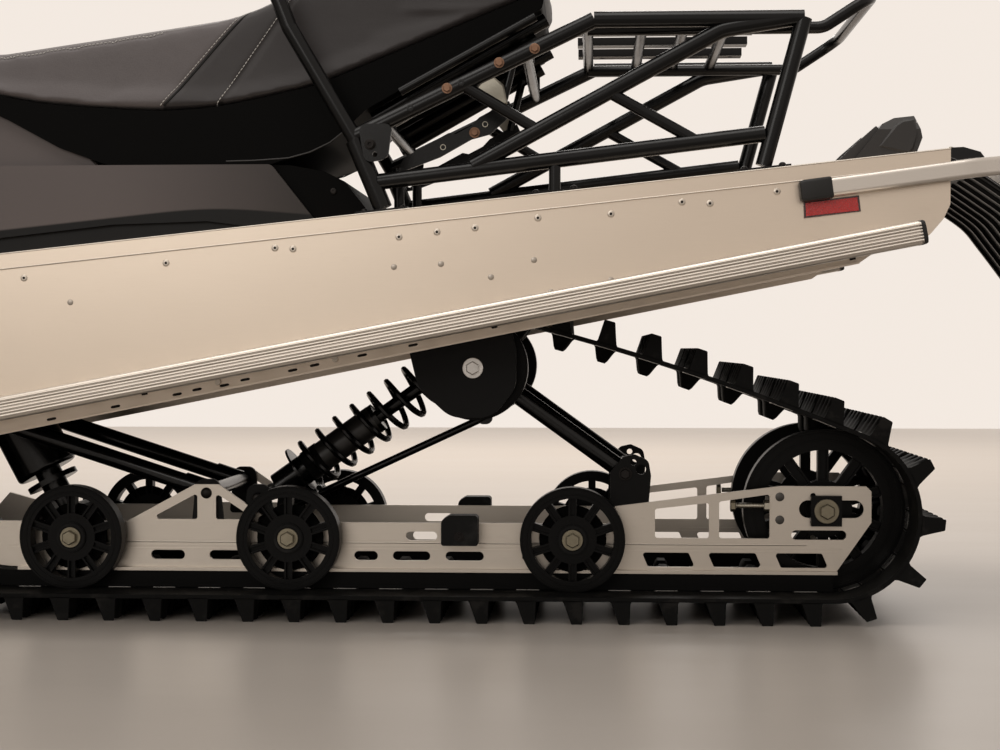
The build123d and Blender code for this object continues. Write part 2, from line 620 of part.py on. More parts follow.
def coil_over(foot, head, eye_axis, body_r, spring_r, wire_r, turns, pin_r):
    """Shock absorber with two spring seats and an open spring round it."""
    damper(foot, head, eye_axis, body_r, pin_r)
    run = head - foot
    way = run.normalized()
    low_seat = foot + run * LOW_SEAT
    high_seat = foot + run * HIGH_SEAT
    rod(low_seat - way * SEAT_THICKNESS, low_seat, spring_r)
    rod(high_seat, high_seat + way * SEAT_THICKNESS, spring_r)
    gap = way * (wire_r + FIT)
    coil_spring(low_seat + gap, high_seat - gap, spring_r - wire_r, wire_r, turns)


ACROSS = Vector(0, 1, 0)
ALONG = Vector(1, 0, 0)
with BuildPart() as rear_shock:
    coil_over(at(REAR_SHOCK_FOOT[0], 0, REAR_SHOCK_FOOT[1]), at(REAR_SHOCK_HEAD[0], 0, REAR_SHOCK_HEAD[1]), ACROSS,
              body_r=25.0, spring_r=45.0, wire_r=5.2, turns=7, pin_r=SHAFT_R)
rear_shock.part.label = "rear_shock"

# Front shock: its spring is inside a cover, apart from the last turn
FRONT_COVER_R = 52.0
FRONT_BODY_R = 22.0
COVER_SHARES = (0.27, 0.79)
LAST_TURN_SHARE = 0.19
LAST_TURN_R = 44.0
with BuildPart() as front_shock:
    foot = at(FRONT_SHOCK_FOOT[0], 0, FRONT_SHOCK_FOOT[1])
    head = at(FRONT_SHOCK_HEAD[0], 0, FRONT_SHOCK_HEAD[1])
    run = head - foot
    damper(foot, head, ACROSS, FRONT_BODY_R, SHAFT_R)
    rod(foot + run * COVER_SHARES[0], foot + run * COVER_SHARES[1], FRONT_COVER_R)
    fillet(front_shock.edges().filter_by(GeomType.CIRCLE).group_by(SortBy.RADIUS)[-1], 7.0)
    ring_start = foot + run * LAST_TURN_SHARE
    rod(ring_start, ring_start + run.normalized() * 9, LAST_TURN_R)
front_shock.part.label = "front_shock"

BUMP_BLOCK = [(547.0, 113.0, 4), (605.0, 113.0, 4), (605.0, 153.0, 10), (592.0, 161.0, 6), (547.0, 161.0, 6)]
with BuildPart() as bump_stops:
    for side in (1, -1):
        low, high = sorted((side * (RAIL_Y + RAIL_WEB / 2), side * (RAIL_Y + RAIL_WEB / 2 + 32)))
        rounded_slab(BUMP_BLOCK, low, high)
bump_stops.part.label = "bump_stops"

DRIVER_FORM = {"rim": 16.0, "disc_r": 44.0, "hub_r": 30.0, "spokes": 8, "spoke_width": 14.0}
DRIVER_Y = 92.0
DRIVER_WIDTH = 40.0
with BuildPart() as drive_axle:
    cross_rod(DRIVE_X, DRIVE_Z, -BRACKET_HIGH_Y, BRACKET_HIGH_Y, 14.0)
    for side in (1, -1):
        low = side * DRIVER_Y - DRIVER_WIDTH / 2
        wheel(DRIVE_X, DRIVE_Z, low, low + DRIVER_WIDTH, DRIVE_R, bore_r=10.0, **DRIVER_FORM)
drive_axle.part.label = "drive_axle"


# Tunnel
def tunnel_top(x):
    """Height of the tunnel's top at x."""
    return TUNNEL_REAR_Z - TUNNEL_SLOPE * (x - TUNNEL_REAR_X)


FLANGE_REAR = (-31.0, 550.7)
FLANGE_SLOPE = 0.1985
FLANGE_FRONT_X = TUNNEL_FRONT_X - 216.0


def flange_z(x):
    """Height of the tunnel's lower edge at x."""
    return FLANGE_REAR[1] - FLANGE_SLOPE * (x - FLANGE_REAR[0])


# Side of the tunnel: (x, z, corner radius)
TUNNEL_OUTLINE = [
    (TUNNEL_REAR_X, TUNNEL_REAR_Z, 0), (TUNNEL_FRONT_X, tunnel_top(TUNNEL_FRONT_X), 0), (TUNNEL_FRONT_X, 246.0, 0),
    (FLANGE_FRONT_X, flange_z(FLANGE_FRONT_X), 0), (*FLANGE_REAR, 0), (-50.0, 564.0, 8), (-135.0, 591.0, 30),
    (-158.0, 618.0, 12), (TUNNEL_REAR_X, 640.0, 12),
]
with BuildPart() as tunnel:
    rounded_slab(TUNNEL_OUTLINE, -TUNNEL_HALF, TUNNEL_HALF)
    slab(
        [(TUNNEL_REAR_X - 10, tunnel_top(TUNNEL_REAR_X - 10) - TUNNEL_WALL),
         (TUNNEL_FRONT_X + 10, tunnel_top(TUNNEL_FRONT_X + 10) - TUNNEL_WALL),
         (TUNNEL_FRONT_X + 10, 100.0), (TUNNEL_REAR_X - 10, 100.0)],
        -TUNNEL_HALF + TUNNEL_WALL, TUNNEL_HALF - TUNNEL_WALL, mode=Mode.SUBTRACT,
    )
    for side in (1, -1):
        low, high = sorted((side * TUNNEL_HALF, side * (TUNNEL_HALF + STRIP_PROUD)))
        slab(
            [(TUNNEL_REAR_X, TUNNEL_REAR_Z), (TUNNEL_FRONT_X, tunnel_top(TUNNEL_FRONT_X)),
             (TUNNEL_FRONT_X, tunnel_top(TUNNEL_FRONT_X) - STRIP_HEIGHT),
             (TUNNEL_REAR_X, TUNNEL_REAR_Z - STRIP_HEIGHT)],
            low, high,
        )
        low, high = sorted((side * (TUNNEL_HALF - 1), side * (TUNNEL_HALF + FLANGE_WIDTH)))
        front_z = flange_z(FLANGE_FRONT_X)
        slab([FLANGE_REAR, (FLANGE_FRONT_X, front_z), (FLANGE_FRONT_X, front_z + TUNNEL_WALL),
              (FLANGE_REAR[0], FLANGE_REAR[1] + TUNNEL_WALL)], low, high)
tunnel.part.label = "tunnel"


# Running boards
def board_z(x):
    """Height of the middle of the board's edge at x."""
    return BOARD_REAR_Z - BOARD_SLOPE * (x - BOARD_REAR_X)


BOARD_INNER_Y = TUNNEL_HALF + FIT
DECK_HEIGHT = EDGE_HEIGHT / 2 - 6.0
with BuildPart() as running_boards:
    rear = at(BOARD_REAR_X, 0, BOARD_REAR_Z)
    front = at(BOARD_FRONT_X, 0, board_z(BOARD_FRONT_X))
    run = front - rear
    with BuildSketch(Plane(origin=rear, x_dir=(0, 1, 0), z_dir=run)) as section:
        with Locations((BOARD_OUTER_Y - EDGE_WIDTH / 2, 0)):
            RectangleRounded(EDGE_WIDTH, EDGE_HEIGHT, EDGE_CORNER)
        with Locations((BOARD_OUTER_Y, 0)):
            with GridLocations(0, GROOVE_PITCH, 1, GROOVES):
                Rectangle(2 * GROOVE_DEPTH, GROOVE_WIDTH, mode=Mode.SUBTRACT)
        deck_width = BOARD_OUTER_Y - EDGE_WIDTH - BOARD_INNER_Y
        with Locations((BOARD_INNER_Y + deck_width / 2 + 2, DECK_HEIGHT)):
            Rectangle(deck_width + 4, BOARD_THICKNESS)
    extrude(section.sketch, amount=run.length)
    deck = Plane(origin=rear, x_dir=run, z_dir=run.cross(ACROSS))
    rows = int((run.length - 2 * GRIP_PITCH) / GRIP_PITCH)
    with BuildSketch(deck) as grips:
        with Locations((run.length / 2, BOARD_INNER_Y + deck_width / 2)):
            with GridLocations(GRIP_PITCH, deck_width / 2, rows, 2):
                Rectangle(GRIP_LENGTH, GRIP_WIDTH)
    extrude(grips.sketch, amount=EDGE_HEIGHT, mode=Mode.SUBTRACT)
    mirror(about=Plane.XZ)
running_boards.part.label = "running_boards"

# Rear bumper, an upright bar of rounded section, with the hitch under its cross run
BUMPER_HEIGHT = 28.0
BUMPER_WIDTH = 18.0
BUMPER_CORNER = 6.0
BUMPER_Y = TUNNEL_HALF + STRIP_PROUD + 3.0 + BUMPER_WIDTH / 2
BUMPER_FRONT = (30.0, 662.0)
BUMPER_BEND_X = -200.0
BUMPER_CROSS = (-310.0, 707.0)
BUMPER_INWARD = 60.0  # from the bend to the cross run's end
HITCH_HOLE_X = -337.0
HITCH_HOLE_R = 8.5
HITCH_PLATE = 8.0
HITCH_HALF = 28.0
HITCH_BOTTOM_Z = BUMPER_CROSS[1] - BUMPER_HEIGHT / 2 - HITCH_PLATE + 2.0
with BuildPart() as rear_bumper:
    (x, z), (cross_x, cross_z) = BUMPER_FRONT, BUMPER_CROSS
    slope = (cross_z - z) / (cross_x - x)
    half_bar = [(x, BUMPER_Y), (BUMPER_BEND_X, BUMPER_Y), (cross_x, BUMPER_Y - BUMPER_INWARD)]
    corners = half_bar + [(bar_x, -bar_y) for bar_x, bar_y in reversed(half_bar)]
    with BuildLine() as path:
        FilletPolyline(*[at(bar_x, bar_y, z + slope * (bar_x - x)) for bar_x, bar_y in corners], radius=60.0)
    with BuildSketch(Plane(origin=path.line @ 0, x_dir=(0, 1, 0), z_dir=path.line % 0)) as bar:
        RectangleRounded(BUMPER_WIDTH, BUMPER_HEIGHT, BUMPER_CORNER)
    sweep(bar.sketch, path=path.line)
    for side in (1, -1):
        for spacer_x in (5.0, -120.0):
            low, high = sorted((side * (TUNNEL_HALF + FIT), side * BUMPER_Y))
            cross_rod(spacer_x, z + slope * (spacer_x - x), low, high, 9.0)
    with BuildSketch(Plane(origin=at(0, 0, HITCH_BOTTOM_Z))) as plate:
        with Locations((HITCH_HOLE_X, 0)):
            Circle(HITCH_HALF)
        with Locations(((HITCH_HOLE_X + cross_x + 10) / 2, 0)):
            Rectangle(cross_x + 10 - HITCH_HOLE_X, 2 * HITCH_HALF)
        with Locations((HITCH_HOLE_X, 0)):
            Circle(HITCH_HOLE_R, mode=Mode.SUBTRACT)
    extrude(plate.sketch, amount=HITCH_PLATE)
rear_bumper.part.label = "rear_bumper"

# Snow flap, hung from the underside of the tunnel's rear end, with ribs down its outer face
FLAP_THICKNESS = 5.0
FLAP_HALF = 230.0
FLAP_RIB = 3.5
FLAP_RIB_WIDTH = 14.0
FLAP_RIBS = 7
FLAP_LINE = [(-150.0, 0.0), (-180.0, 0.0), (-212.0, -15.0), (-222.0, -75.0), (-300.0, -175.0), (-340.0, -240.0)]
with BuildPart() as snow_flap:
    seat = tunnel_top(FLAP_LINE[0][0]) - TUNNEL_WALL - FIT - FLAP_THICKNESS / 2
    with BuildSketch(side_plane(FLAP_HALF)) as strip:
        with BuildLine():
            FilletPolyline(*[(x, seat + fall) for x, fall in FLAP_LINE], radius=14.0)
        trace(line_width=FLAP_THICKNESS)
    extrude(strip.sketch, amount=2 * FLAP_HALF)
    for index in range(FLAP_RIBS):
        middle = FLAP_HALF * 0.88 * (2 * index / (FLAP_RIBS - 1) - 1)
        with BuildSketch(side_plane(middle + FLAP_RIB_WIDTH / 2)) as rib:
            with BuildLine():
                Polyline(*[(x, seat + fall) for x, fall in FLAP_LINE[3:]])
            trace(line_width=FLAP_THICKNESS + 2 * FLAP_RIB)
        extrude(rib.sketch, amount=FLAP_RIB_WIDTH)
snow_flap.part.label = "snow_flap"

# Tail lamp: wedge on the tunnel's end with chamfered shoulders and a recess for its lens
LAMP_HALF = 90.0
LAMP_OUTLINE = [
    (-40.0, tunnel_top(-40) + SEAT_GAP), (-99.0, 786.0), (-120.0, 797.0), (-153.0, 801.0), (-161.0, 762.0),
    (-146.0, tunnel_top(-146) + SEAT_GAP),
]
with BuildPart() as tail_lamp:
    slab(LAMP_OUTLINE, -LAMP_HALF, LAMP_HALF)
    for side in (1, -1):
        outer = side * (LAMP_HALF + 1)
        shoulder = [(outer, 775.0, 0), (side * (LAMP_HALF - 34), 803.0, 0), (outer, 803.0, 0)]
        extrude(rounded_face(front_plane(-200.0), shoulder), amount=200, mode=Mode.SUBTRACT)
    slab([(-150.0, 790.0), (-170.0, 790.0), (-170.0, 762.0), (-151.0, 762.0)], -LAMP_HALF + 16, LAMP_HALF - 16,
         mode=Mode.SUBTRACT)
tail_lamp.part.label = "tail_lamp"

# Racks
FOOT_THICKNESS = 4.0
GUSSET = [(727.0, 769.0, 12), (674.0, 769.0, 10), (681.0, 715.0, 14), (717.0, 709.0, 12)]
GUSSET_HOLES = [(708.0, 737.0, 4.5), (701.0, 722.0, 4.0)]


def foot_plate(x, y, length, width):
    """Plate that lies on the tunnel's top under a frame tube."""
    low, high = x - length / 2, x + length / 2
    low_z, high_z = tunnel_top(low) + FIT, tunnel_top(high) + FIT
    slab([(low, low_z), (high, high_z), (high, high_z + FOOT_THICKNESS), (low, low_z + FOOT_THICKNESS)],
         y - width / 2, y + width / 2)


BACKREST_Y = 150.0
with BuildPart() as left_rack:
    y = RACK_Y
    for x in (690.0, 425.0, 107.0):
        foot_plate(x, y, 80.0, 44.0)
    rod(at(697, y, 681), at(105, y, 751), TUBE_R)
    rod(at(690, y, tunnel_top(690) + 7), at(734, y, 745), TUBE_R + 2)
    tube([at(726, y, 735), at(835, y, 920), at(870, y, 1010), at(790, y, 1085), at(430, y, 1085),
          at(366.7, BACKREST_Y, 1085), at(339.7, BACKREST_Y, 1290)], TUBE_R, 32.0)
    tube([at(551, y, 704), at(170, y, 910), at(60, y, RACK_TOP_Z)], TUBE_R, 60.0)
    rod(at(107, y, tunnel_top(107) + 7), at(46, y, RACK_TOP_Z), TUBE_R)
    rod(at(46, y, RACK_TOP_Z), at(365, y, RACK_TOP_Z), TUBE_R)
    rod(at(565, y, 828), at(452, y, 760), STRUT_R)
    rod(at(340, y, 815), at(212, y, 743), STRUT_R)
    rod(at(732, y, 752), at(365, y, RACK_TOP_Z), TUBE_R)
    rod(at(425, y, tunnel_top(425) + 5), at(425, y, 712), STRUT_R)
    rounded_slab(GUSSET, y + TUBE_R - 4, y + TUBE_R + 2)
    for x, z, radius in GUSSET_HOLES:
        cross_rod(x, z, y + TUBE_R - 6, y + TUBE_R + 4, radius, mode=Mode.SUBTRACT)
left_rack.part.label = "left_rack"

with BuildPart() as right_rack:
    mirror(left_rack.part, about=Plane.XZ)
right_rack.part.label = "right_rack"

# Rack deck: cross bars, straps with their bolt holes, and the hoop that rises behind the rack
RACK_BOLT_R = 4.5
RACK_BOLT_X = (130.0, 350.0)
SLAT_X = (160.0, 225.0, 290.0, 375.0)
STRAP_Y = 110.0
STRAP_Z = RACK_TOP_Z + STRUT_R + 4.0
HOOP_Y = RACK_Y - 38.0
HOOP_Z = RACK_TOP_Z - 8.0
HOOP_R = 9.5
with BuildPart() as rack_deck:
    for x in SLAT_X:
        cross_rod(x, RACK_TOP_Z, -RACK_Y + TUBE_R + FIT, RACK_Y - TUBE_R - FIT, STRUT_R)
    for y in (-STRAP_Y, 0.0, STRAP_Y):
        slab([(112.0, RACK_TOP_Z), (392.0, RACK_TOP_Z), (392.0, STRAP_Z), (112.0, STRAP_Z)], y - 15, y + 15)
    tube([at(SLAT_X[-1], HOOP_Y, HOOP_Z), at(12, HOOP_Y, HOOP_Z), at(-65, HOOP_Y - 4, HOOP_Z + 50),
          at(-65, 4 - HOOP_Y, HOOP_Z + 50), at(12, -HOOP_Y, HOOP_Z), at(SLAT_X[-1], -HOOP_Y, HOOP_Z)], HOOP_R, 36.0)
    for x in RACK_BOLT_X:
        for y in (-STRAP_Y, STRAP_Y):
            rod(at(x, y, RACK_TOP_Z - 20), at(x, y, STRAP_Z + 5), RACK_BOLT_R, mode=Mode.SUBTRACT)
rack_deck.part.label = "rack_deck"

# Seat, its base and the cover under it: (x, z, corner radius)
SEAT_UNDERSIDE = [(1240.0, 812.0, 700), (1000.0, 795.0, 700), (800.0, 838.0, 300)]
SEAT_OUTLINE = [
    (SEAT_FRONT_X, 868.0, 10), *SEAT_UNDERSIDE, (440.0, 985.0, 25), (418.0, 1046.0, 25), (466.0, 1078.0, 40),
    (700.0, 1053.0, 200), (930.0, 955.0, 250), (1145.0, 922.0, 300), (1322.0, 898.0, 250), (SEAT_FRONT_X, 905.0, 15),
]
BASE_OUTLINE = [
    (SEAT_FRONT_X, 868.0 - SEAT_GAP, 2), *[(x, z - SEAT_GAP, r) for x, z, r in SEAT_UNDERSIDE],
    (440.0, 985.0 - SEAT_GAP, 8), (446.0, 955.0, 8), (722.0, 800.0, 60), (780.0, 745.0, 40),
    (874.0, COVER_TOP_Z + SEAT_GAP, 20), (1135.0, COVER_TOP_Z + SEAT_GAP, 60), (1212.0, 742.0, 60),
    (1308.0, 794.0, 150), (SEAT_FRONT_X, 850.0, 4),
]
BACKREST_HALF = 170.0
with BuildPart() as seat_cushion:
    rounded_slab(SEAT_OUTLINE, -SEAT_HALF, SEAT_HALF)
seat_cushion.part.label = "seat_cushion"

with BuildPart() as seat_base:
    rounded_slab(BASE_OUTLINE, -SEAT_BASE_HALF, SEAT_BASE_HALF)
seat_base.part.label = "seat_base"

with BuildPart() as backrest:
    rounded_slab([(446.0, 1125.0, 20), (410.0, 1310.0, 26), (350.0, 1310.0, 26), (374.3, 1125.0, 20)],
                 -BACKREST_HALF, BACKREST_HALF)
backrest.part.label = "backrest"

SEAT_RAIL_Y = 150.0
RAIL_A_RISE = 0.4768


def rack_rail_z(x):
    """Height of the rack's sloping front tube at x."""
    return 752.0 + (732.0 - x) * RAIL_A_RISE


with BuildPart() as seat_rails:
    for side in (1, -1):
        y = side * SEAT_RAIL_Y
        rod(at(716.5, y, 789.8), at(440.5, y, 944.8), TUBE_R - 1.5)
        for x in (690.0, 470.0):
            slab([(x - 10, rack_rail_z(x)), (x + 10, rack_rail_z(x)), (x + 10, rack_rail_z(x) + 38),
                  (x - 10, rack_rail_z(x) + 38)], y - 4, y + 4)
    for x in (690.0, 470.0):
        cross_rod(x, rack_rail_z(x), -RACK_Y + TUBE_R + FIT, RACK_Y - TUBE_R - FIT, STRUT_R)
seat_rails.part.label = "seat_rails"

# Cover under the seat, with a band below its lip that stands back: (x, height of the lip above the tunnel)
COVER_LIP = [(905.0, 6.0), (975.0, 22.0), (1125.0, 33.0), (COVER_FRONT_X + 1, 30.0)]
LIP_DEPTH = 9.0
with BuildPart() as side_cover:
    front_z = tunnel_top(COVER_FRONT_X) + SEAT_GAP
    rounded_slab([(873.0, COVER_TOP_Z, 12), (COVER_FRONT_X, COVER_TOP_Z, 4), (COVER_FRONT_X, front_z, 0),
                  (800.0, tunnel_top(800) + SEAT_GAP, 0)], -COVER_HALF, COVER_HALF)
    lip = [(x, tunnel_top(x) + rise) for x, rise in reversed(COVER_LIP)]
    for side in (1, -1):
        low, high = sorted((side * (COVER_HALF - LIP_DEPTH), side * (COVER_HALF + 1)))
        slab([(COVER_FRONT_X + 1, front_z - 5), *lip, (870.0, tunnel_top(870) - 5)], low, high, mode=Mode.SUBTRACT)
side_cover.part.label = "side_cover"

# Console ahead of the seat, with the steering post's passage
CONSOLE_HALF = 150.0
with BuildPart() as console:
    rounded_slab(
        [(COVER_FRONT_X + SEAT_GAP, tunnel_top(COVER_FRONT_X) + SEAT_GAP, 0),
         (COVER_FRONT_X + SEAT_GAP, COVER_TOP_Z + SEAT_GAP, 0), (HOOD_REAR_X - 125, COVER_TOP_Z + SEAT_GAP, 0),
         (HOOD_REAR_X - 125, 930.0, 24), (HOOD_REAR_X - 55, 985.0, 40), (HOOD_REAR_X - FIT, 990.0, 0),
         (HOOD_REAR_X - FIT, tunnel_top(HOOD_REAR_X) + SEAT_GAP, 0)],
        -CONSOLE_HALF, CONSOLE_HALF,
    )
    rod(at(POST_TOP[0], 0, POST_TOP[1]), at(POST_FOOT[0], 0, POST_FOOT[1]), POST_R + 9, mode=Mode.SUBTRACT)
console.part.label = "console"


# Front body shell: the same form three ways. Sides are (ahead of the hood's rear edge, z, corner radius), the plan
# is (ahead, y, corner radius) and the front is (y, z, corner radius), both for one half.
def from_hood(corners):
    """Same corners with x measured from the rear axle."""
    return [(HOOD_REAR_X + ahead, *rest) for ahead, *rest in corners]


def both_halves(corners):
    """Outline of two like halves from the corners of one, y being the first column."""
    return corners + [(-y, z, r) for y, z, r in reversed(corners)]


BODY_SIDE = from_hood([
    (0.0, 232.0, 0), (765.0, 232.0, 120), (925.0, 330.0, 80), (985.0, 450.0, 60), (945.0, 600.0, 120),
    (675.0, 800.0, 400), (305.0, 980.0, 300), (85.0, 1030.0, 50), (0.0, 960.0, 10),
])
PLAN_HALF = [
    (0.0, BODY_HALF, 0), (595.0, BODY_HALF, 200), (845.0, BODY_HALF - 112.0, 150), (985.0, BODY_HALF - 232.0, 70),
]
BODY_PLAN = from_hood([(x, -y, r) for x, y, r in PLAN_HALF] + PLAN_HALF[::-1])
BODY_FRONT = both_halves([
    (BODY_HALF - 152.0, 225.0, 60), (BODY_HALF, 430.0, 90), (BODY_HALF, 620.0, 200), (BODY_HALF - 102.0, 940.0, 120),
    (BODY_HALF - 182.0, 1035.0, 50),
])


def body_form(outset):
    """Front body's closed form, its walls moved outwards."""
    with BuildPart(mode=Mode.PRIVATE) as form:
        extrude(rounded_face(side_plane(BODY_HALF + 20), BODY_SIDE, outset), amount=2 * BODY_HALF + 40)
        extrude(rounded_face(Plane(origin=at(0, 0, 200)), BODY_PLAN, outset), amount=900, mode=Mode.INTERSECT)
        extrude(rounded_face(front_plane(HOOD_REAR_X - 50), BODY_FRONT, outset), amount=1200, mode=Mode.INTERSECT)
    return form.part


REAR_OPENING_HALF = BODY_HALF - 62.0
with BuildPart() as body_shell:
    add(body_form(0.0))
    add(body_form(-SHELL), mode=Mode.SUBTRACT)
    slab([(HOOD_REAR_X - 5, 200.0), (HOOD_REAR_X + SHELL + 5, 200.0), (HOOD_REAR_X + SHELL + 5, 953.0),
          (HOOD_REAR_X - 5, 953.0)], -REAR_OPENING_HALF, REAR_OPENING_HALF, mode=Mode.SUBTRACT)

PANEL_OUTLINE = from_hood([(35.0, 440.0, 25), (645.0, 440.0, 25), (645.0, 600.0, 40), (525.0, 720.0, 60), (35.0, 800.0, 25)])
PAN_TOP_Z = 400.0
ARM_BAY = (SPINDLE_X - 185.0, SPINDLE_X + 185.0)
ARM_BAY_Y = 150.0
BODY_CLEAR = BODY_HALF + 48.0  # outside the body on either side
BODY_SPAN = (HOOD_REAR_X - 55.0, HOOD_REAR_X + 1045.0)

# Hinges of the side panels: upright pins just outside the body, ahead of each panel
HINGE_X = HOOD_REAR_X + 649.0
HINGE_Y = BODY_HALF - 8.0
HINGE_Z = (458.0, 560.0)
HINGE_PIN_R = 4.0
HINGE_EYE_R = 8.0
HINGE_EYE_LENGTH = 22.0
HINGE_TAB = 6.0
BUMPER_FOOT = (HOOD_REAR_X + 775.0, 120.0, 330.0)
BUMPER_ELBOW = (HOOD_REAR_X + 945.0, 130.0, 345.0)
BUMPER_TIP = (HOOD_REAR_X + 1085.0, 130.0, 430.0)
with BuildPart() as hood:
    add(body_shell.part)
    extrude(rounded_face(side_plane(BODY_CLEAR), PANEL_OUTLINE, PANEL_GAP), amount=2 * BODY_CLEAR, mode=Mode.SUBTRACT)
    block((BODY_SPAN[0], -BODY_CLEAR, 200.0), (BODY_SPAN[1], BODY_CLEAR, PAN_TOP_Z), mode=Mode.SUBTRACT)
    for low, high in ((ARM_BAY_Y, BODY_CLEAR), (-BODY_CLEAR, -ARM_BAY_Y)):
        block((ARM_BAY[0], low, 200.0), (ARM_BAY[1] - 115, high, PANEL_OUTLINE[0][1]), mode=Mode.SUBTRACT)
    for side in (1, -1):
        for z in HINGE_Z:
            for tab_z in (z - HINGE_TAB - FIT, z + HINGE_EYE_LENGTH + FIT):
                low, high = sorted((side * (HINGE_Y - 30), side * (HINGE_Y + 6)))
                block((HINGE_X - 3.5, low, tab_z), (HINGE_X + 26, high, tab_z + HINGE_TAB))
            rod(at(HINGE_X, side * HINGE_Y, z - HINGE_TAB), at(HINGE_X, side * HINGE_Y, z + HINGE_EYE_LENGTH + 2),
                HINGE_PIN_R)
    rod(at(POST_FOOT[0], 0, POST_FOOT[1]), at(POST_TOP[0], 0, POST_TOP[1]), POST_R + 8, mode=Mode.SUBTRACT)
hood.part.label = "hood"

with BuildPart() as left_side_panel:
    add(body_shell.part)
    rounded_slab(PANEL_OUTLINE, BODY_HALF - 252, BODY_CLEAR, mode=Mode.INTERSECT)
    for z in HINGE_Z:
        block((HINGE_X - 30, HINGE_Y - 18, z), (HINGE_X - 3, HINGE_Y + 4, z + HINGE_EYE_LENGTH))
        rod(at(HINGE_X, HINGE_Y, z), at(HINGE_X, HINGE_Y, z + HINGE_EYE_LENGTH), HINGE_EYE_R)
        rod(at(HINGE_X, HINGE_Y, z - 5), at(HINGE_X, HINGE_Y, z + HINGE_EYE_LENGTH + 5), HINGE_PIN_R + FIT,
            mode=Mode.SUBTRACT)
left_side_panel.part.label = "left_side_panel"

with BuildPart() as right_side_panel:
    mirror(left_side_panel.part, about=Plane.XZ)
right_side_panel.part.label = "right_side_panel"

FRAME_REAR_X = TUNNEL_FRONT_X + FIT
with BuildPart() as belly_pan:
    add(body_shell.part)
    block((BODY_SPAN[0], -BODY_CLEAR, 200.0), (BODY_SPAN[1], BODY_CLEAR, PAN_TOP_Z - FIT), mode=Mode.INTERSECT)
    block((BODY_SPAN[0], -BODY_CLEAR, 200.0), (FRAME_REAR_X, BODY_CLEAR, 500.0), mode=Mode.SUBTRACT)
    for low, high in ((ARM_BAY_Y, BODY_CLEAR), (-BODY_CLEAR, -ARM_BAY_Y)):
        block((ARM_BAY[0], low, 200.0), (ARM_BAY[1], high, 500.0), mode=Mode.SUBTRACT)
    for side in (1, -1):
        rod(at(BUMPER_FOOT[0], side * BUMPER_FOOT[1], BUMPER_FOOT[2]),
            at(BUMPER_ELBOW[0], side * BUMPER_ELBOW[1], BUMPER_ELBOW[2]), TUBE_R + 1, mode=Mode.SUBTRACT)
belly_pan.part.label = "belly_pan"

# Windshield: a bowed sheet that leans back from the hood: half widths as (y, z, corner radius)
SHIELD_R = 600.0
SHIELD_THICKNESS = 4.0
SHIELD_LEAN = 0.326
SHIELD_FOOT = (HOOD_REAR_X + 180.0, 1005.0)
SHIELD_LOW_Z = 940.0
SHIELD_FRONT = both_halves([
    (212.0, SHIELD_LOW_Z, 0), (228.0, 1090.0, 300), (212.0, 1250.0, 200), (160.0, 1400.0, 70), (90.0, 1440.0, 60),
])
with BuildPart() as windshield:
    low_x = SHIELD_FOOT[0] + SHIELD_LEAN * (SHIELD_FOOT[1] - SHIELD_LOW_Z)
    with BuildSketch(Plane(origin=at(low_x, 0, SHIELD_LOW_Z))) as bow:
        with Locations((-SHIELD_R, 0)):
            Circle(SHIELD_R)
            Circle(SHIELD_R - SHIELD_THICKNESS, mode=Mode.SUBTRACT)
    extrude(bow.sketch, amount=540, dir=(-SHIELD_LEAN, 0, 1))
    extrude(rounded_face(front_plane(SHIELD_FOOT[0] - 320), SHIELD_FRONT), amount=400, mode=Mode.INTERSECT)
    add(body_form(SEAT_GAP), mode=Mode.SUBTRACT)
windshield.part.label = "windshield"

# Headlamps on the nose's slope: (y, distance up the slope, corner radius)
NOSE_SLOPE = 200.0 / 270.0
LAMP_AHEAD = 835.0
LAMP_THICKNESS = 8.0
LAMP_FACE = [(28.0, -42.0, 10), (120.0, -56.0, 20), (170.0, -6.0, 16), (150.0, 46.0, 14), (40.0, 36.0, 10)]
with BuildPart() as headlamps:
    lamp_z = 800.0 - NOSE_SLOPE * (LAMP_AHEAD - 675.0) + SEAT_GAP
    for side in (1, -1):
        slope = Plane(origin=at(HOOD_REAR_X + LAMP_AHEAD, 0, lamp_z), x_dir=(0, 1, 0), z_dir=(NOSE_SLOPE, 0, 1))
        extrude(rounded_face(slope, [(side * y, rise, r) for y, rise, r in LAMP_FACE]), amount=LAMP_THICKNESS)
headlamps.part.label = "headlamps"

with BuildPart() as front_bumper:
    x, y, z = BUMPER_FOOT
    ex, ey, ez = BUMPER_ELBOW
    tip_x, tip_y, tip_z = BUMPER_TIP
    tube([at(x + 2, y, z), at(ex, ey, ez), at(tip_x, tip_y, tip_z), at(tip_x, -tip_y, tip_z), at(ex, -ey, ez),
          at(x + 2, -y, z)], TUBE_R, 40.0)
front_bumper.part.label = "front_bumper"

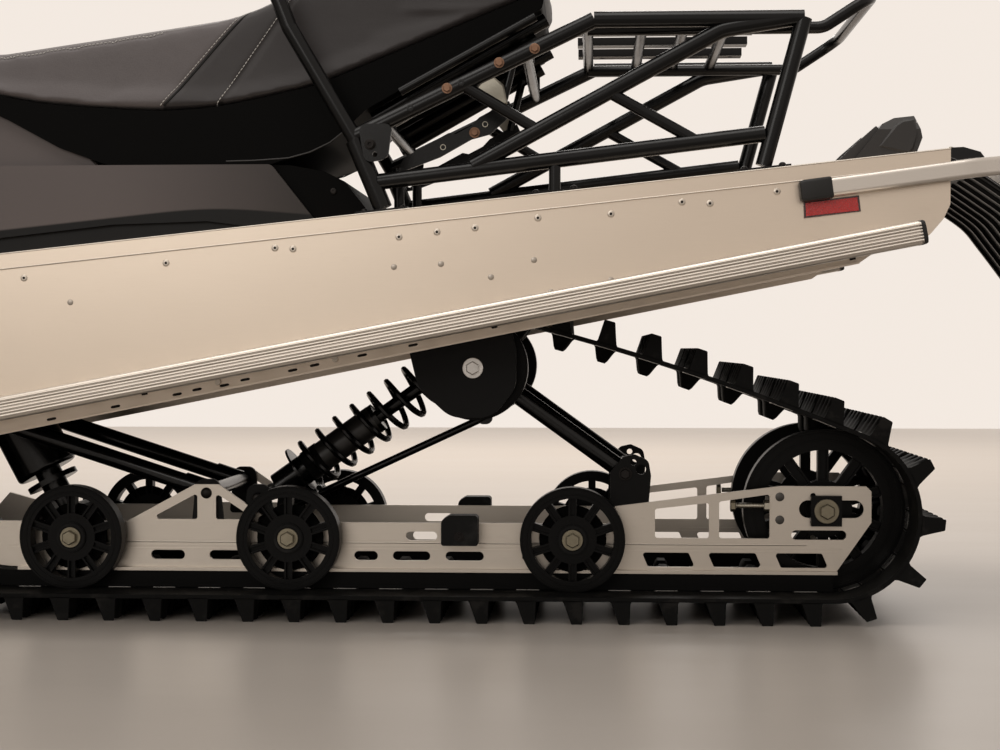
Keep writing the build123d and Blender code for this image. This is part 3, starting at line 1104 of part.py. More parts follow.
# Frame inside the front body, engine block and the arms' pivots
ARM_ROOT_Y = 128.0
ARM_ROOT_X = (SPINDLE_X - 120.0, SPINDLE_X + 110.0)
ARM_ROOT_R = 14.0
LOWER_ROOT_Z = 285.0
UPPER_ROOT_Z = 415.0
FRAME_FLOOR_Z = 250.0
FRAME_FRONT_X = BUMPER_FOOT[0]
FRAME_HALF = 150.0
BULKHEAD_HALF = TUNNEL_HALF - 5.0
POST_BEARING = (HOOD_REAR_X + 157.0, 694.3)
CROSS_X = SPINDLE_X + 10.0
CROSS_Z = 492.0
with BuildPart() as front_frame:
    block((FRAME_REAR_X, -FRAME_HALF, FRAME_FLOOR_Z), (FRAME_FRONT_X, FRAME_HALF, FRAME_FLOOR_Z + 12))
    bulkhead = [(BULKHEAD_HALF - 75, FRAME_FLOOR_Z, 10), (BULKHEAD_HALF, 350.0, 30), (BULKHEAD_HALF, 520.0, 10)]
    extrude(rounded_face(front_plane(FRAME_REAR_X), both_halves(bulkhead)), amount=12)
    block((FRAME_FRONT_X - 12, -FRAME_HALF, FRAME_FLOOR_Z), (FRAME_FRONT_X, FRAME_HALF, 360.0))
    for x in ARM_ROOT_X:
        block((x - 20, -ARM_ROOT_Y, FRAME_FLOOR_Z + 5), (x + 20, ARM_ROOT_Y, 440.0))
    for side in (1, -1):
        rod(at(FRAME_REAR_X + 6, side * 140, 500), at(POST_BEARING[0], side * 16, POST_BEARING[1]), TUBE_R)
        rod(at(ARM_ROOT_X[1], side * 110, 435), at(POST_BEARING[0], side * 16, POST_BEARING[1]), TUBE_R)
    cross_rod(CROSS_X, CROSS_Z, -152.7, 152.7, STRUT_R)
    rod(at(POST_FOOT[0] - 2, 0, POST_FOOT[1] + 3), at(POST_BEARING[0] - 16, 0, POST_BEARING[1] + 24.3), POST_R + 9)
    rod(at(POST_FOOT[0] + 20, 0, POST_FOOT[1] - 30.2), at(POST_TOP[0], 0, POST_TOP[1]), POST_R + FIT, mode=Mode.SUBTRACT)
front_frame.part.label = "front_frame"

with BuildPart() as engine:
    block((HOOD_REAR_X + 225, -190.0, FRAME_FLOOR_Z + 12 + FIT), (HOOD_REAR_X + 415, 190.0, 535.0))
engine.part.label = "engine"

SHOCK_FOOT_Y = 360.0
SHOCK_PIN_R = 8.0
SHOCK_HEAD_Y = 167.0


def arm_point(x, root_z, eye_z, y):
    """Point on an arm's centre line at a distance y from the middle."""
    root_y = ARM_ROOT_Y + FIT + ARM_ROOT_R
    share = (y - root_y) / (SKI_Y - root_y)
    return at(x + (SPINDLE_X - x) * share, y, root_z + (eye_z - root_z) * share)


with BuildPart() as ski_arms:
    root_y = ARM_ROOT_Y + FIT + ARM_ROOT_R
    for eye_z, root_z in ((LOWER_EYE_Z, LOWER_ROOT_Z), (UPPER_EYE_Z, UPPER_ROOT_Z)):
        for x in ARM_ROOT_X:
            rod(at(x - 20, root_y, root_z), at(x + 20, root_y, root_z), ARM_ROOT_R)
            rod(at(x, root_y, root_z), at(SPINDLE_X, SKI_Y, eye_z), TUBE_R - 2)
        rod(at(SPINDLE_X, SKI_Y, eye_z - EYE_HEIGHT / 2), at(SPINDLE_X, SKI_Y, eye_z + EYE_HEIGHT / 2), EYE_R)
        rod(at(SPINDLE_X, SKI_Y, eye_z - EYE_HEIGHT), at(SPINDLE_X, SKI_Y, eye_z + EYE_HEIGHT), KINGPIN_R + FIT,
            mode=Mode.SUBTRACT)
    rod(arm_point(ARM_ROOT_X[0], LOWER_ROOT_Z, LOWER_EYE_Z, SHOCK_FOOT_Y),
        arm_point(ARM_ROOT_X[1], LOWER_ROOT_Z, LOWER_EYE_Z, SHOCK_FOOT_Y), SHOCK_PIN_R)
    mirror(about=Plane.XZ)
ski_arms.part.label = "ski_arms"

with BuildPart() as ski_shocks:
    foot = arm_point(SPINDLE_X, LOWER_ROOT_Z, LOWER_EYE_Z, SHOCK_FOOT_Y)
    coil_over(foot, at(CROSS_X, SHOCK_HEAD_Y, CROSS_Z), ALONG, body_r=14.0, spring_r=30.0, wire_r=4.2, turns=7,
              pin_r=SHOCK_PIN_R)
    mirror(about=Plane.XZ)
ski_shocks.part.label = "ski_shocks"

STEERING_ARM = 85.0
TIE_ROD_Z = 340.0
SKI_PIVOT_Z = 84.0
SKI_PIVOT_R = 8.0
FOOT_HALF = 19.0
with BuildPart() as left_spindle:
    rod(at(SPINDLE_X, SKI_Y, LOWER_EYE_Z - EYE_HEIGHT / 2 - 1), at(SPINDLE_X, SKI_Y, UPPER_EYE_Z + EYE_HEIGHT / 2 + 8),
        KINGPIN_R)
    rod(at(SPINDLE_X, SKI_Y, LOWER_EYE_Z + EYE_HEIGHT / 2 + FIT), at(SPINDLE_X, SKI_Y, UPPER_EYE_Z - EYE_HEIGHT / 2 - FIT),
        EYE_R)
    rod(at(SPINDLE_X, SKI_Y, 90), at(SPINDLE_X, SKI_Y, LOWER_EYE_Z - EYE_HEIGHT / 2 - FIT), EYE_R)
    rounded_slab([(SPINDLE_X - 24, 60.0, 16), (SPINDLE_X + 24, 60.0, 16), (SPINDLE_X + 20, 112.0, 6),
                  (SPINDLE_X - 20, 112.0, 6)], SKI_Y - FOOT_HALF, SKI_Y + FOOT_HALF)
    cross_rod(SPINDLE_X, SKI_PIVOT_Z, SKI_Y - 40, SKI_Y + 40, SKI_PIVOT_R + FIT, mode=Mode.SUBTRACT)
    rounded_slab([(SPINDLE_X - STEERING_ARM - 16, TIE_ROD_Z - 14, 4), (SPINDLE_X, TIE_ROD_Z - 24, 2),
                  (SPINDLE_X, TIE_ROD_Z, 2), (SPINDLE_X - STEERING_ARM - 16, TIE_ROD_Z, 2)], SKI_Y - 14, SKI_Y + 14)
left_spindle.part.label = "left_spindle"

with BuildPart() as right_spindle:
    mirror(left_spindle.part, about=Plane.XZ)
right_spindle.part.label = "right_spindle"

# Skis: side outline as (x, z, corner radius), half widths as (x, half width, corner radius)
SKI_HEEL_X = SPINDLE_X - 430.0
SKI_TIP_X = SPINDLE_X + 590.0
SKI_TOP_Z = KEEL_HEIGHT + SKI_THICKNESS
SKI_OUTLINE = [
    (SKI_HEEL_X, KEEL_HEIGHT + 14, 4), (SKI_HEEL_X + 40, KEEL_HEIGHT, 20), (SPINDLE_X + 300, KEEL_HEIGHT, 300),
    (SPINDLE_X + 450, KEEL_HEIGHT + 45, 250), (SKI_TIP_X, KEEL_HEIGHT + 160, 7), (SKI_TIP_X - 12, KEEL_HEIGHT + 168, 4),
    (SPINDLE_X + 440, KEEL_HEIGHT + 60, 240), (SPINDLE_X + 292, SKI_TOP_Z, 290), (SKI_HEEL_X + 42, SKI_TOP_Z, 16),
    (SKI_HEEL_X, KEEL_HEIGHT + 26, 4),
]
SKI_PLAN = [
    (SKI_HEEL_X - 1, SKI_WIDTH / 2 - 22, 0), (SKI_HEEL_X + 36, SKI_WIDTH / 2, 30), (SPINDLE_X + 330, SKI_WIDTH / 2, 400),
    (SKI_TIP_X - 60, SKI_WIDTH / 2 - 18, 80), (SKI_TIP_X + 2, SKI_WIDTH / 2 - 44, 0),
]
SKI_LOOP_Y = 36.0
SKI_LOOP_R = 8.0
SKI_RIB_Y = 62.0
SKI_RIB = 8.0
with BuildPart() as left_ski:
    rounded_slab(SKI_OUTLINE, SKI_Y - SKI_WIDTH / 2, SKI_Y + SKI_WIDTH / 2)
    plan = [(x, -half, r) for x, half, r in SKI_PLAN] + SKI_PLAN[::-1]
    extrude(rounded_face(Plane(origin=at(0, SKI_Y, 0)), plan), amount=300, mode=Mode.INTERSECT)
    rounded_slab([(SKI_HEEL_X + 60, KEEL_HEIGHT + 1, 2), (SKI_HEEL_X + 90, 0.0, 20), (SPINDLE_X + 270, 0.0, 60),
                  (SPINDLE_X + 320, KEEL_HEIGHT + 7, 2)], SKI_Y - 14, SKI_Y + 14)
    for side in (1, -1):
        low, high = sorted((SKI_Y + side * (FOOT_HALF + FIT), SKI_Y + side * (FOOT_HALF + 13)))
        rounded_slab([(SPINDLE_X - 90, SKI_TOP_Z - 1, 2), (SPINDLE_X + 90, SKI_TOP_Z - 1, 2), (SPINDLE_X + 28, 108.0, 18),
                      (SPINDLE_X - 28, 108.0, 18)], low, high)
        rib_y = SKI_Y + side * SKI_RIB_Y
        rounded_slab([(SKI_HEEL_X + 70, SKI_TOP_Z - 1, 2), (SPINDLE_X + 270, SKI_TOP_Z - 1, 2),
                      (SPINDLE_X + 130, SKI_TOP_Z + 13, 60), (SPINDLE_X - 130, SKI_TOP_Z + 13, 60)],
                     rib_y - SKI_RIB / 2, rib_y + SKI_RIB / 2)
        loop_y = SKI_Y + side * SKI_LOOP_Y
        tube([at(SKI_TIP_X - 22, loop_y, 180), at(SKI_TIP_X - 60, loop_y, 260), at(SPINDLE_X + 300, loop_y, 44)],
             SKI_LOOP_R, 30.0)
    cross_rod(SPINDLE_X, SKI_PIVOT_Z, SKI_Y - 38, SKI_Y + 38, SKI_PIVOT_R)
    cross_rod(SKI_TIP_X - 58, 243, SKI_Y - SKI_LOOP_Y - 1, SKI_Y + SKI_LOOP_Y + 1, SKI_LOOP_R)
left_ski.part.label = "left_ski"

with BuildPart() as right_ski:
    mirror(left_ski.part, about=Plane.XZ)
right_ski.part.label = "right_ski"

with BuildPart() as tie_rods:
    tie_x = SPINDLE_X - STEERING_ARM
    for side in (1, -1):
        rod(at(tie_x, side * SKI_Y, TIE_ROD_Z + FIT), at(tie_x, side * SKI_Y, TIE_ROD_Z + 22), 12.0)
    cross_rod(tie_x, TIE_ROD_Z + 12, -SKI_Y, SKI_Y, 7.0)
tie_rods.part.label = "tie_rods"

# Handlebar: half of the bar as points, then hand grips and the levers ahead of them
BAR_R = 11.0
BAR_END = (POST_TOP[0] - 60.0, 385.0, 1120.0)
BAR_KNEE = (POST_TOP[0] - 15.0, 210.0, 1130.0)
BAR_ROOT = (POST_TOP[0], 60.0, 1080.0)
HAND_GRIP_R = 16.0
HAND_GRIP = 118.0
CLAMP = (134.0, 160.0)  # from the bar's end
LEVER_AHEAD = 42.0
LEVER_R = 5.0
with BuildPart() as handlebar:
    rod(at(POST_FOOT[0], 0, POST_FOOT[1]), at(POST_TOP[0], 0, POST_TOP[1]), POST_R)
    half_bar = [BAR_END, BAR_KNEE, BAR_ROOT]
    tube([at(*point) for point in half_bar] + [at(x, -y, z) for x, y, z in reversed(half_bar)], BAR_R, 30.0)
    for side in (1, -1):
        end = at(BAR_END[0], side * BAR_END[1], BAR_END[2])
        way = (at(BAR_KNEE[0], side * BAR_KNEE[1], BAR_KNEE[2]) - end).normalized()
        rod(end - way * 3, end + way * HAND_GRIP, HAND_GRIP_R)
        rod(end + way * CLAMP[0], end + way * CLAMP[1], HAND_GRIP_R)
        clamp = end + way * (CLAMP[0] + CLAMP[1]) / 2
        ahead = Vector(LEVER_AHEAD, 0, 0)
        tube([clamp, clamp + ahead, end + way * 18 + ahead], LEVER_R, 14.0)
handlebar.part.label = "handlebar"

os.makedirs("parts", exist_ok=True)
PIECES = [
    track, left_rail, right_rail, sliders, idler_wheels, rear_wheels, skid_shafts, carrier_brackets, rear_arm,
    front_arm, rear_shock, front_shock, bump_stops, drive_axle, tunnel, running_boards, rear_bumper, snow_flap,
    tail_lamp, left_rack, right_rack, rack_deck, seat_cushion, seat_base, backrest, seat_rails, side_cover, console,
    hood, left_side_panel, right_side_panel, belly_pan, windshield, headlamps, front_bumper, front_frame, engine,
    ski_arms, ski_shocks, left_spindle, right_spindle, left_ski, right_ski, tie_rods, handlebar,
]
for piece in PIECES:
    export_step(piece.part, f"parts/{piece.part.label}.step")
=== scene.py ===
"""Dresses a packed long-track snowmobile: finishes, track rubber, soft seat parts and small trim."""

import logging
import math
from dataclasses import dataclass, field
from enum import Enum
from typing import Callable, Sequence

import bmesh
import bpy
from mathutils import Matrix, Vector
from mathutils.bvhtree import BVHTree
from mathutils.kdtree import KDTree


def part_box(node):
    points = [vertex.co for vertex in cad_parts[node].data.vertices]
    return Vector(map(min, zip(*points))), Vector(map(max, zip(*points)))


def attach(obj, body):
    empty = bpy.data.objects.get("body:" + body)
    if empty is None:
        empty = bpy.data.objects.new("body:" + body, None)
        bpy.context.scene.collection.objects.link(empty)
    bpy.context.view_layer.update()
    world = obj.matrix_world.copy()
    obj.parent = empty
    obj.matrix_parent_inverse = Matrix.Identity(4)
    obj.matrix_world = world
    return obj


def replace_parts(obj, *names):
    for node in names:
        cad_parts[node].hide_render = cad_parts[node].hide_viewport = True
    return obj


LOG = logging.getLogger("snowmobile")
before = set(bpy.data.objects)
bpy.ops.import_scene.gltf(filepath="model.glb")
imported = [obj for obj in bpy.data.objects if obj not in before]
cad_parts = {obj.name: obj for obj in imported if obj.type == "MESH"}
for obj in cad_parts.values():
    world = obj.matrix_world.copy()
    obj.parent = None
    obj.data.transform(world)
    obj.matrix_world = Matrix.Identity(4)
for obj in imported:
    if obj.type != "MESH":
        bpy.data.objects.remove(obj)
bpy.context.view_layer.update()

Pair = tuple[float, float]
Pairs = tuple[Pair, ...]
Triple = tuple[float, float, float]
Contact = tuple[Vector, Vector]


class Body(Enum):
    """Bodies of the model that a piece can ride on."""

    CHASSIS = "chassis"
    STEERING = "steering"
    LEFT_SKI = "left_ski_unit"
    RIGHT_SKI = "right_ski_unit"
    LEFT_PANEL = "left_panel"
    RIGHT_PANEL = "right_panel"


SIDES = (1, -1)
ACROSS = Vector((0.0, 1.0, 0.0))
ALONG = Vector((1.0, 0.0, 0.0))
UP = Vector((0.0, 0.0, 1.0))


@dataclass
class Machine:
    """Places that every sub-assembly shares, worked out from the frame. Lengths are in metres."""

    axle: Vector = field(default_factory=lambda: sum(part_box("rear_wheels"), Vector()) / 2)
    tunnel_half: float = 0.275
    strip_proud: float = 0.002
    tunnel_rear: Pair = (-0.168, 0.724)
    tunnel_slope: float = 0.1060
    rail_y: float = 0.155
    rail_face: float = 0.158
    rack_y: float = 0.240
    hood_rear: float = 1.655

    def at(self, x: float, y: float, z: float) -> Vector:
        """Point from x in metres forward of the rear axle."""
        return Vector((self.axle.x + x, y, z))

    def tunnel_top(self, x: float) -> float:
        """Height of the tunnel's top at x forward of the rear axle."""
        return self.tunnel_rear[1] - self.tunnel_slope * (x - self.tunnel_rear[0])


def joining(operation: str, swapped: bool = False) -> Callable[["Signal", "Signal | float"], "Signal"]:
    """Operator of a signal that adds one Math node.

    Args:
        operation: Math node's operation.
        swapped: whether the signal is the right operand.

    Returns:
        The operator's method.
    """
    def method(self: "Signal", other: "Signal | float") -> "Signal":
        """Result of the Math node."""
        first, second = (other, self) if swapped else (self, other)
        return self.graph.node("ShaderNodeMath", {"operation": operation}, {0: first, 1: second})

    return method


class Signal:
    """A shader socket that takes part in arithmetic."""

    def __init__(self, graph: "Graph", socket: bpy.types.NodeSocket) -> None:
        """Keep the socket and its graph."""
        self.graph = graph
        self.socket = socket

    __add__ = joining("ADD")
    __radd__ = joining("ADD", swapped=True)
    __sub__ = joining("SUBTRACT")
    __rsub__ = joining("SUBTRACT", swapped=True)
    __mul__ = joining("MULTIPLY")
    __rmul__ = joining("MULTIPLY", swapped=True)

    def above(self, edge: float, softness: float) -> "Signal":
        """Smooth step from 0 to 1.

        Args:
            edge: value at which the step is half way.
            softness: width of the step.

        Returns:
            The step's value.
        """
        settings = {"interpolation_type": "SMOOTHSTEP"}
        inputs = {"Value": self, "From Min": edge - softness / 2, "From Max": edge + softness / 2}
        return self.graph.node("ShaderNodeMapRange", settings, inputs)


class Graph:
    """Node tree of a material or of the world."""

    def __init__(self, owner: bpy.types.ID, output: str = "ShaderNodeOutputMaterial") -> None:
        """Clear the owner's nodes and add its output.

        Args:
            owner: material or world.
            output: type of the output node.
        """
        self.owner = owner
        owner.use_nodes = True
        self.tree = owner.node_tree
        self.tree.nodes.clear()
        self.surface = self.tree.nodes.new(output).inputs["Surface"]

    def put(self, socket: bpy.types.NodeSocket, value: object) -> None:
        """Link a signal to a socket, or set the socket's own value.

        Args:
            socket: input to fill.
            value: signal, number, colour or vector.
        """
        if isinstance(value, Signal):
            self.tree.links.new(value.socket, socket)
        elif isinstance(value, tuple) and len(value) == 3 and socket.type == "RGBA":
            socket.default_value = (*value, 1.0)
        else:
            socket.default_value = value

    def node(self, kind: str, settings: dict[str, object], inputs: dict[object, object],
             output: int | str = 0) -> Signal:
        """Add any node.

        Args:
            kind: node type.
            settings: properties set first.
            inputs: values or signals by socket name or number.
            output: name or number of the socket to return.

        Returns:
            The chosen output.
        """
        made = self.tree.nodes.new(kind)
        for key, value in settings.items():
            setattr(made, key, value)
        for key, value in inputs.items():
            self.put(made.inputs[key], value)
        return Signal(self, made.outputs[output])

    def place(self, stretch: Triple = (1.0, 1.0, 1.0)) -> Signal:
        """Place on the object in metres, scaled along each axis.

        Args:
            stretch: factor along x, y and z.

        Returns:
            The scaled place.
        """
        point = self.node("ShaderNodeTexCoord", {}, {}, "Object")
        return self.node("ShaderNodeVectorMath", {"operation": "MULTIPLY"}, {0: point, 1: stretch})

    def noise(self, scale: float, detail: float = 4.0, stretch: Triple = (1.0, 1.0, 1.0)) -> Signal:
        """Fractal noise from 0 to 1 over the object.

        Args:
            scale: lumps in a metre.
            detail: octaves.
            stretch: factor along each axis.

        Returns:
            The noise.
        """
        inputs = {"Vector": self.place(stretch), "Scale": scale, "Detail": detail, "Roughness": 0.55}
        return self.node("ShaderNodeTexNoise", {}, inputs)

    def cells(self, scale: float, feature: str = "F1", stretch: Triple = (1.0, 1.0, 1.0)) -> Signal:
        """Distance pattern of random cells.

        Args:
            scale: cells in a metre.
            feature: Voronoi feature.
            stretch: factor along each axis.

        Returns:
            The distance.
        """
        inputs = {"Vector": self.place(stretch), "Scale": scale}
        return self.node("ShaderNodeTexVoronoi", {"feature": feature}, inputs)

    def blend(self, share: Signal | float, first: object, second: object) -> Signal:
        """Mix two colours.

        Args:
            share: 0 gives the first colour, 1 the second.
            first: colour or signal.
            second: colour or signal.

        Returns:
            The mixed colour.
        """
        return self.node("ShaderNodeMix", {"data_type": "RGBA"}, {0: share, 6: first, 7: second}, 2)

    def bump(self, height: Signal, distance: float, strength: float, below: Signal | None = None) -> Signal:
        """Bump normal from a height.

        Args:
            height: height signal from 0 to 1.
            distance: real height of 1, in metres.
            strength: how much of it shows.
            below: normal to build on.

        Returns:
            The normal.
        """
        inputs: dict[object, object] = {"Height": height, "Distance": distance, "Strength": strength}
        if below is not None:
            inputs["Normal"] = below
        return self.node("ShaderNodeBump", {}, inputs)

    def part(self, vector: Signal, axis: str) -> Signal:
        """Component of a vector, with the axis as X, Y or Z."""
        return self.node("ShaderNodeSeparateXYZ", {}, {0: vector}, axis)

    def upward(self) -> Signal:
        """Share of the surface's normal that points up."""
        return self.part(self.node("ShaderNodeNewGeometry", {}, {}, "Normal"), "Z")

    def finish(self, **inputs: object) -> bpy.types.Material:
        """End the material with a Principled shader.

        Args:
            **inputs: values by socket name with underscores for spaces.

        Returns:
            The material.
        """
        named = {key.replace("_", " "): value for key, value in inputs.items()}
        self.put(self.surface, self.node("ShaderNodeBsdfPrincipled", {}, named))
        return self.owner


@dataclass(frozen=True)
class Finish:
    """Named finish; each kind adds its own values and nodes."""

    name: str

    def graph(self) -> Graph:
        """Start the finish's material."""
        return Graph(bpy.data.materials.new(self.name))


@dataclass(frozen=True)
class SheetAluminium(Finish):
    """Rolled or extruded aluminium with drawn grain, soft waves and handling marks."""

    colour: Triple = (0.63, 0.545, 0.455)
    roughness: float = 0.34
    grain: Triple = (3.0, 60.0, 260.0)
    wave: float = 0.0012

    def material(self) -> bpy.types.Material:
        """Build the material.

        Returns:
            The material.
        """
        graph = self.graph()
        drawn = graph.noise(6.0, 6.0, self.grain)
        broad = graph.noise(2.2, 3.0)
        scuffs = graph.noise(34.0, 8.0, (1.0, 1.0, 3.0)).above(0.66, 0.05)
        shade = tuple(c * 0.86 for c in self.colour)
        colour = graph.blend(drawn * 0.55 + broad * 0.35, self.colour, shade)
        rough = self.roughness + drawn * 0.12 + scuffs * 0.10 - 0.05
        waves = graph.bump(broad, self.wave, 0.7)
        fine = graph.bump(drawn, 0.00004, 0.6, waves)
        return graph.finish(Base_Color=colour, Metallic=1.0, Roughness=rough, Normal=fine)


@dataclass(frozen=True)
class FramePaint(Finish):
    """Black powder coat with orange peel and a little dust on what faces up."""

    colour: Triple = (0.0030, 0.0029, 0.0029)
    roughness: float = 0.20
    peel: float = 0.00006
    dust: float = 0.008
    gloss: float = 0.20

    def material(self) -> bpy.types.Material:
        """Build the material.

        Returns:
            The material.
        """
        graph = self.graph()
        peel = graph.noise(900.0, 2.0)
        patch = graph.noise(9.0, 5.0)
        dusty = (graph.upward() * patch).above(0.5, 0.5) * self.dust
        colour = graph.blend(dusty, self.colour, (0.30, 0.27, 0.24))
        rough = self.roughness + patch * 0.16 - 0.06
        normal = graph.bump(peel, self.peel, 0.8)
        return graph.finish(Base_Color=colour, Roughness=rough, Normal=normal, Specular_IOR_Level=self.gloss)


@dataclass(frozen=True)
class MouldedRubber(Finish):
    """Matt rubber with moulding grain and pale scuffs."""

    colour: Triple = (0.0026, 0.0025, 0.0023)
    worn: Triple = (0.015, 0.0135, 0.012)
    roughness: float = 0.62
    gloss: float = 0.10

    def material(self) -> bpy.types.Material:
        """Build the material.

        Returns:
            The material.
        """
        graph = self.graph()
        grain = graph.noise(420.0, 3.0)
        scuff = graph.noise(38.0, 7.0).above(0.60, 0.16)
        colour = graph.blend(scuff * 0.7, self.colour, self.worn)
        rough = self.roughness + grain * 0.2 - 0.06
        normal = graph.bump(grain + scuff * 0.3, 0.00016, 0.7)
        return graph.finish(Base_Color=colour, Roughness=rough, Normal=normal, Specular_IOR_Level=self.gloss)


@dataclass(frozen=True)
class MouldedPlastic(Finish):
    """Injection-moulded plastic with a fine spark-eroded grain."""

    colour: Triple = (0.020, 0.020, 0.021)
    roughness: float = 0.44
    grain: float = 0.00005
    gloss: float = 0.25

    def material(self) -> bpy.types.Material:
        """Build the material.

        Returns:
            The material.
        """
        graph = self.graph()
        pits = graph.cells(1100.0)
        broad = graph.noise(7.0, 4.0)
        light = tuple(c * 1.35 + 0.001 for c in self.colour)
        colour = graph.blend(broad, self.colour, light)
        rough = self.roughness + broad * 0.12 - 0.05
        normal = graph.bump(pits, self.grain, 0.6)
        return graph.finish(Base_Color=colour, Roughness=rough, Normal=normal, Specular_IOR_Level=self.gloss)


@dataclass(frozen=True)
class CoverPlastic(Finish):
    """Grained charcoal plastic with painted shade: black in the recess under its lip and darker towards its
    rear end.
    """

    machine: Machine
    colour: Triple = (0.105, 0.088, 0.084)
    # Painted shade: colour of the rear end, darker than the front
    shade: Triple = (0.028, 0.024, 0.022)
    # Painted shade: near black in the recess under the lip
    painted_hollow_shade: Triple = (0.0026, 0.0024, 0.0022)
    roughness: float = 0.42
    # Start, slope and height limit of the painted shade band under the lip
    band: Triple = (0.735, 0.19, 0.044)
    bend: float = 0.022

    def material(self) -> bpy.types.Material:
        """Build the material.

        Returns:
            The material.
        """
        graph = self.graph()
        point = graph.place()
        x = graph.part(point, "X") - self.machine.axle.x
        z = graph.part(point, "Z")
        start, slope, limit = self.band
        ends = {0: (x - start) * slope, 1: limit, 2: self.bend}
        lip = graph.node("ShaderNodeMath", {"operation": "SMOOTH_MIN"}, ends)
        rise = z + (x - self.machine.tunnel_rear[0]) * self.machine.tunnel_slope - self.machine.tunnel_rear[1]
        above = (rise - lip).above(0.0, 0.004)
        pits = graph.cells(1100.0)
        broad = graph.noise(7.0, 4.0)
        # Painted shade: the face darkens towards its rear end and turns black below the lip
        face = graph.blend((x + broad * 0.05).above(0.98, 0.44), self.shade, self.colour)
        colour = graph.blend(above, self.painted_hollow_shade, face)
        normal = graph.bump(pits, 0.00004, 0.6)
        rough = self.roughness + broad * 0.10 - 0.05
        return graph.finish(Base_Color=colour, Roughness=rough, Normal=normal, Specular_IOR_Level=0.16)


@dataclass(frozen=True)
class SeatVinyl(Finish):
    """Grained upholstery vinyl with soft creases, smoother behind a slanted seam, where its colour is painted
    darker as shade; the lighter colour ahead of it stands for sheen.
    """

    # Colour ahead of the seam, lightened as painted sheen; the share below darkens it behind the seam as
    # painted shade
    colour: Triple = (0.115, 0.100, 0.099)
    roughness: float = 0.46
    painted_rear_shade: float = 0.26
    seam: Pair = (0.0, 0.0)
    lean: Pair = (0.749, 0.662)

    def material(self) -> bpy.types.Material:
        """Build the material.

        Returns:
            The material.
        """
        graph = self.graph()
        leather = graph.cells(520.0, "SMOOTH_F1")
        pores = graph.noise(1500.0, 2.0)
        creases = graph.noise(16.0, 5.0, (1.0, 1.0, 1.6))
        shade = tuple(c * 0.72 for c in self.colour)
        front = self.ahead(graph)
        grained = graph.blend(creases * 0.6 + leather * 0.3, self.colour, shade)
        # Painted shade behind the seam
        painted_shade_colour = tuple(c * self.painted_rear_shade for c in self.colour)
        colour = graph.blend(front, painted_shade_colour, grained)
        rough = self.roughness + leather * 0.14 + creases * 0.08 - 0.06
        soft = graph.bump(creases, 0.0012, 0.45)
        normal = graph.bump((leather * 0.7 + pores * 0.3) * (front * 0.75 + 0.25), 0.00024, 0.7, soft)
        return graph.finish(Base_Color=colour, Roughness=rough, Normal=normal, Sheen_Weight=0.10,
                            Sheen_Roughness=0.4, Specular_IOR_Level=0.26)

    def ahead(self, graph: Graph) -> Signal:
        """Mask that is 1 ahead of the seam and 0 behind it.

        Args:
            graph: material's graph.

        Returns:
            The mask.
        """
        point = graph.place()
        ahead = (graph.part(point, "X") - self.seam[0]) * self.lean[0]
        above = (graph.part(point, "Z") - self.seam[1]) * self.lean[1]
        return (ahead + above).above(0.0, 0.002)


@dataclass(frozen=True)
class PlatedSteel(Finish):
    """Zinc-plated steel with a faint yellow cast and turning marks."""

    colour: Triple = (0.46, 0.43, 0.36)
    roughness: float = 0.34

    def material(self) -> bpy.types.Material:
        """Build the material.

        Returns:
            The material.
        """
        graph = self.graph()
        blotch = graph.noise(70.0, 5.0)
        lines = graph.noise(60.0, 2.0, (1.0, 14.0, 1.0))
        shade = tuple(c * 0.6 for c in self.colour)
        colour = graph.blend(blotch, self.colour, shade)
        rough = self.roughness + blotch * 0.2 - 0.06
        normal = graph.bump(lines, 0.00005, 0.6)
        return graph.finish(Base_Color=colour, Metallic=1.0, Roughness=rough, Normal=normal)


@dataclass(frozen=True)
class PaintedPanel(Finish):
    """Gloss-coated body panel with faint ripple."""

    colour: Triple = (0.008, 0.0082, 0.009)
    roughness: float = 0.26

    def material(self) -> bpy.types.Material:
        """Build the material.

        Returns:
            The material.
        """
        graph = self.graph()
        ripple = graph.noise(5.0, 2.0)
        peel = graph.noise(650.0, 2.0)
        light = tuple(c * 1.5 for c in self.colour)
        colour = graph.blend(ripple, self.colour, light)
        under = graph.bump(ripple, 0.0006, 0.5)
        normal = graph.bump(peel, 0.00003, 0.6, under)
        rough = self.roughness + ripple * 0.08
        return graph.finish(Base_Color=colour, Roughness=rough, Normal=normal, Coat_Weight=0.7,
                            Coat_Roughness=0.08)


@dataclass(frozen=True)
class ClearScreen(Finish):
    """Tinted clear plastic."""

    colour: Triple = (0.55, 0.57, 0.60)
    clarity: float = 0.9

    def material(self) -> bpy.types.Material:
        """Build the material.

        Returns:
            The material.
        """
        graph = self.graph()
        haze = graph.noise(14.0, 5.0)
        colour = graph.blend(haze, self.colour, tuple(c * 0.86 for c in self.colour))
        rough = 0.03 + haze * 0.05
        return graph.finish(Base_Color=colour, Roughness=rough, Transmission_Weight=self.clarity, IOR=1.25)


@dataclass(frozen=True)
class PrismLens(Finish):
    """Moulded lens with rows of small prisms."""

    colour: Triple
    pitch: float = 420.0

    def material(self) -> bpy.types.Material:
        """Build the material.

        Returns:
            The material.
        """
        graph = self.graph()
        prisms = graph.cells(self.pitch, "F1", (1.0, 0.2, 1.0))
        colour = graph.blend(prisms, self.colour, tuple(c * 0.55 for c in self.colour))
        normal = graph.bump(prisms, 0.0008, 0.6)
        return graph.finish(Base_Color=colour, Roughness=0.22 + prisms * 0.1, Normal=normal, Coat_Weight=0.35)


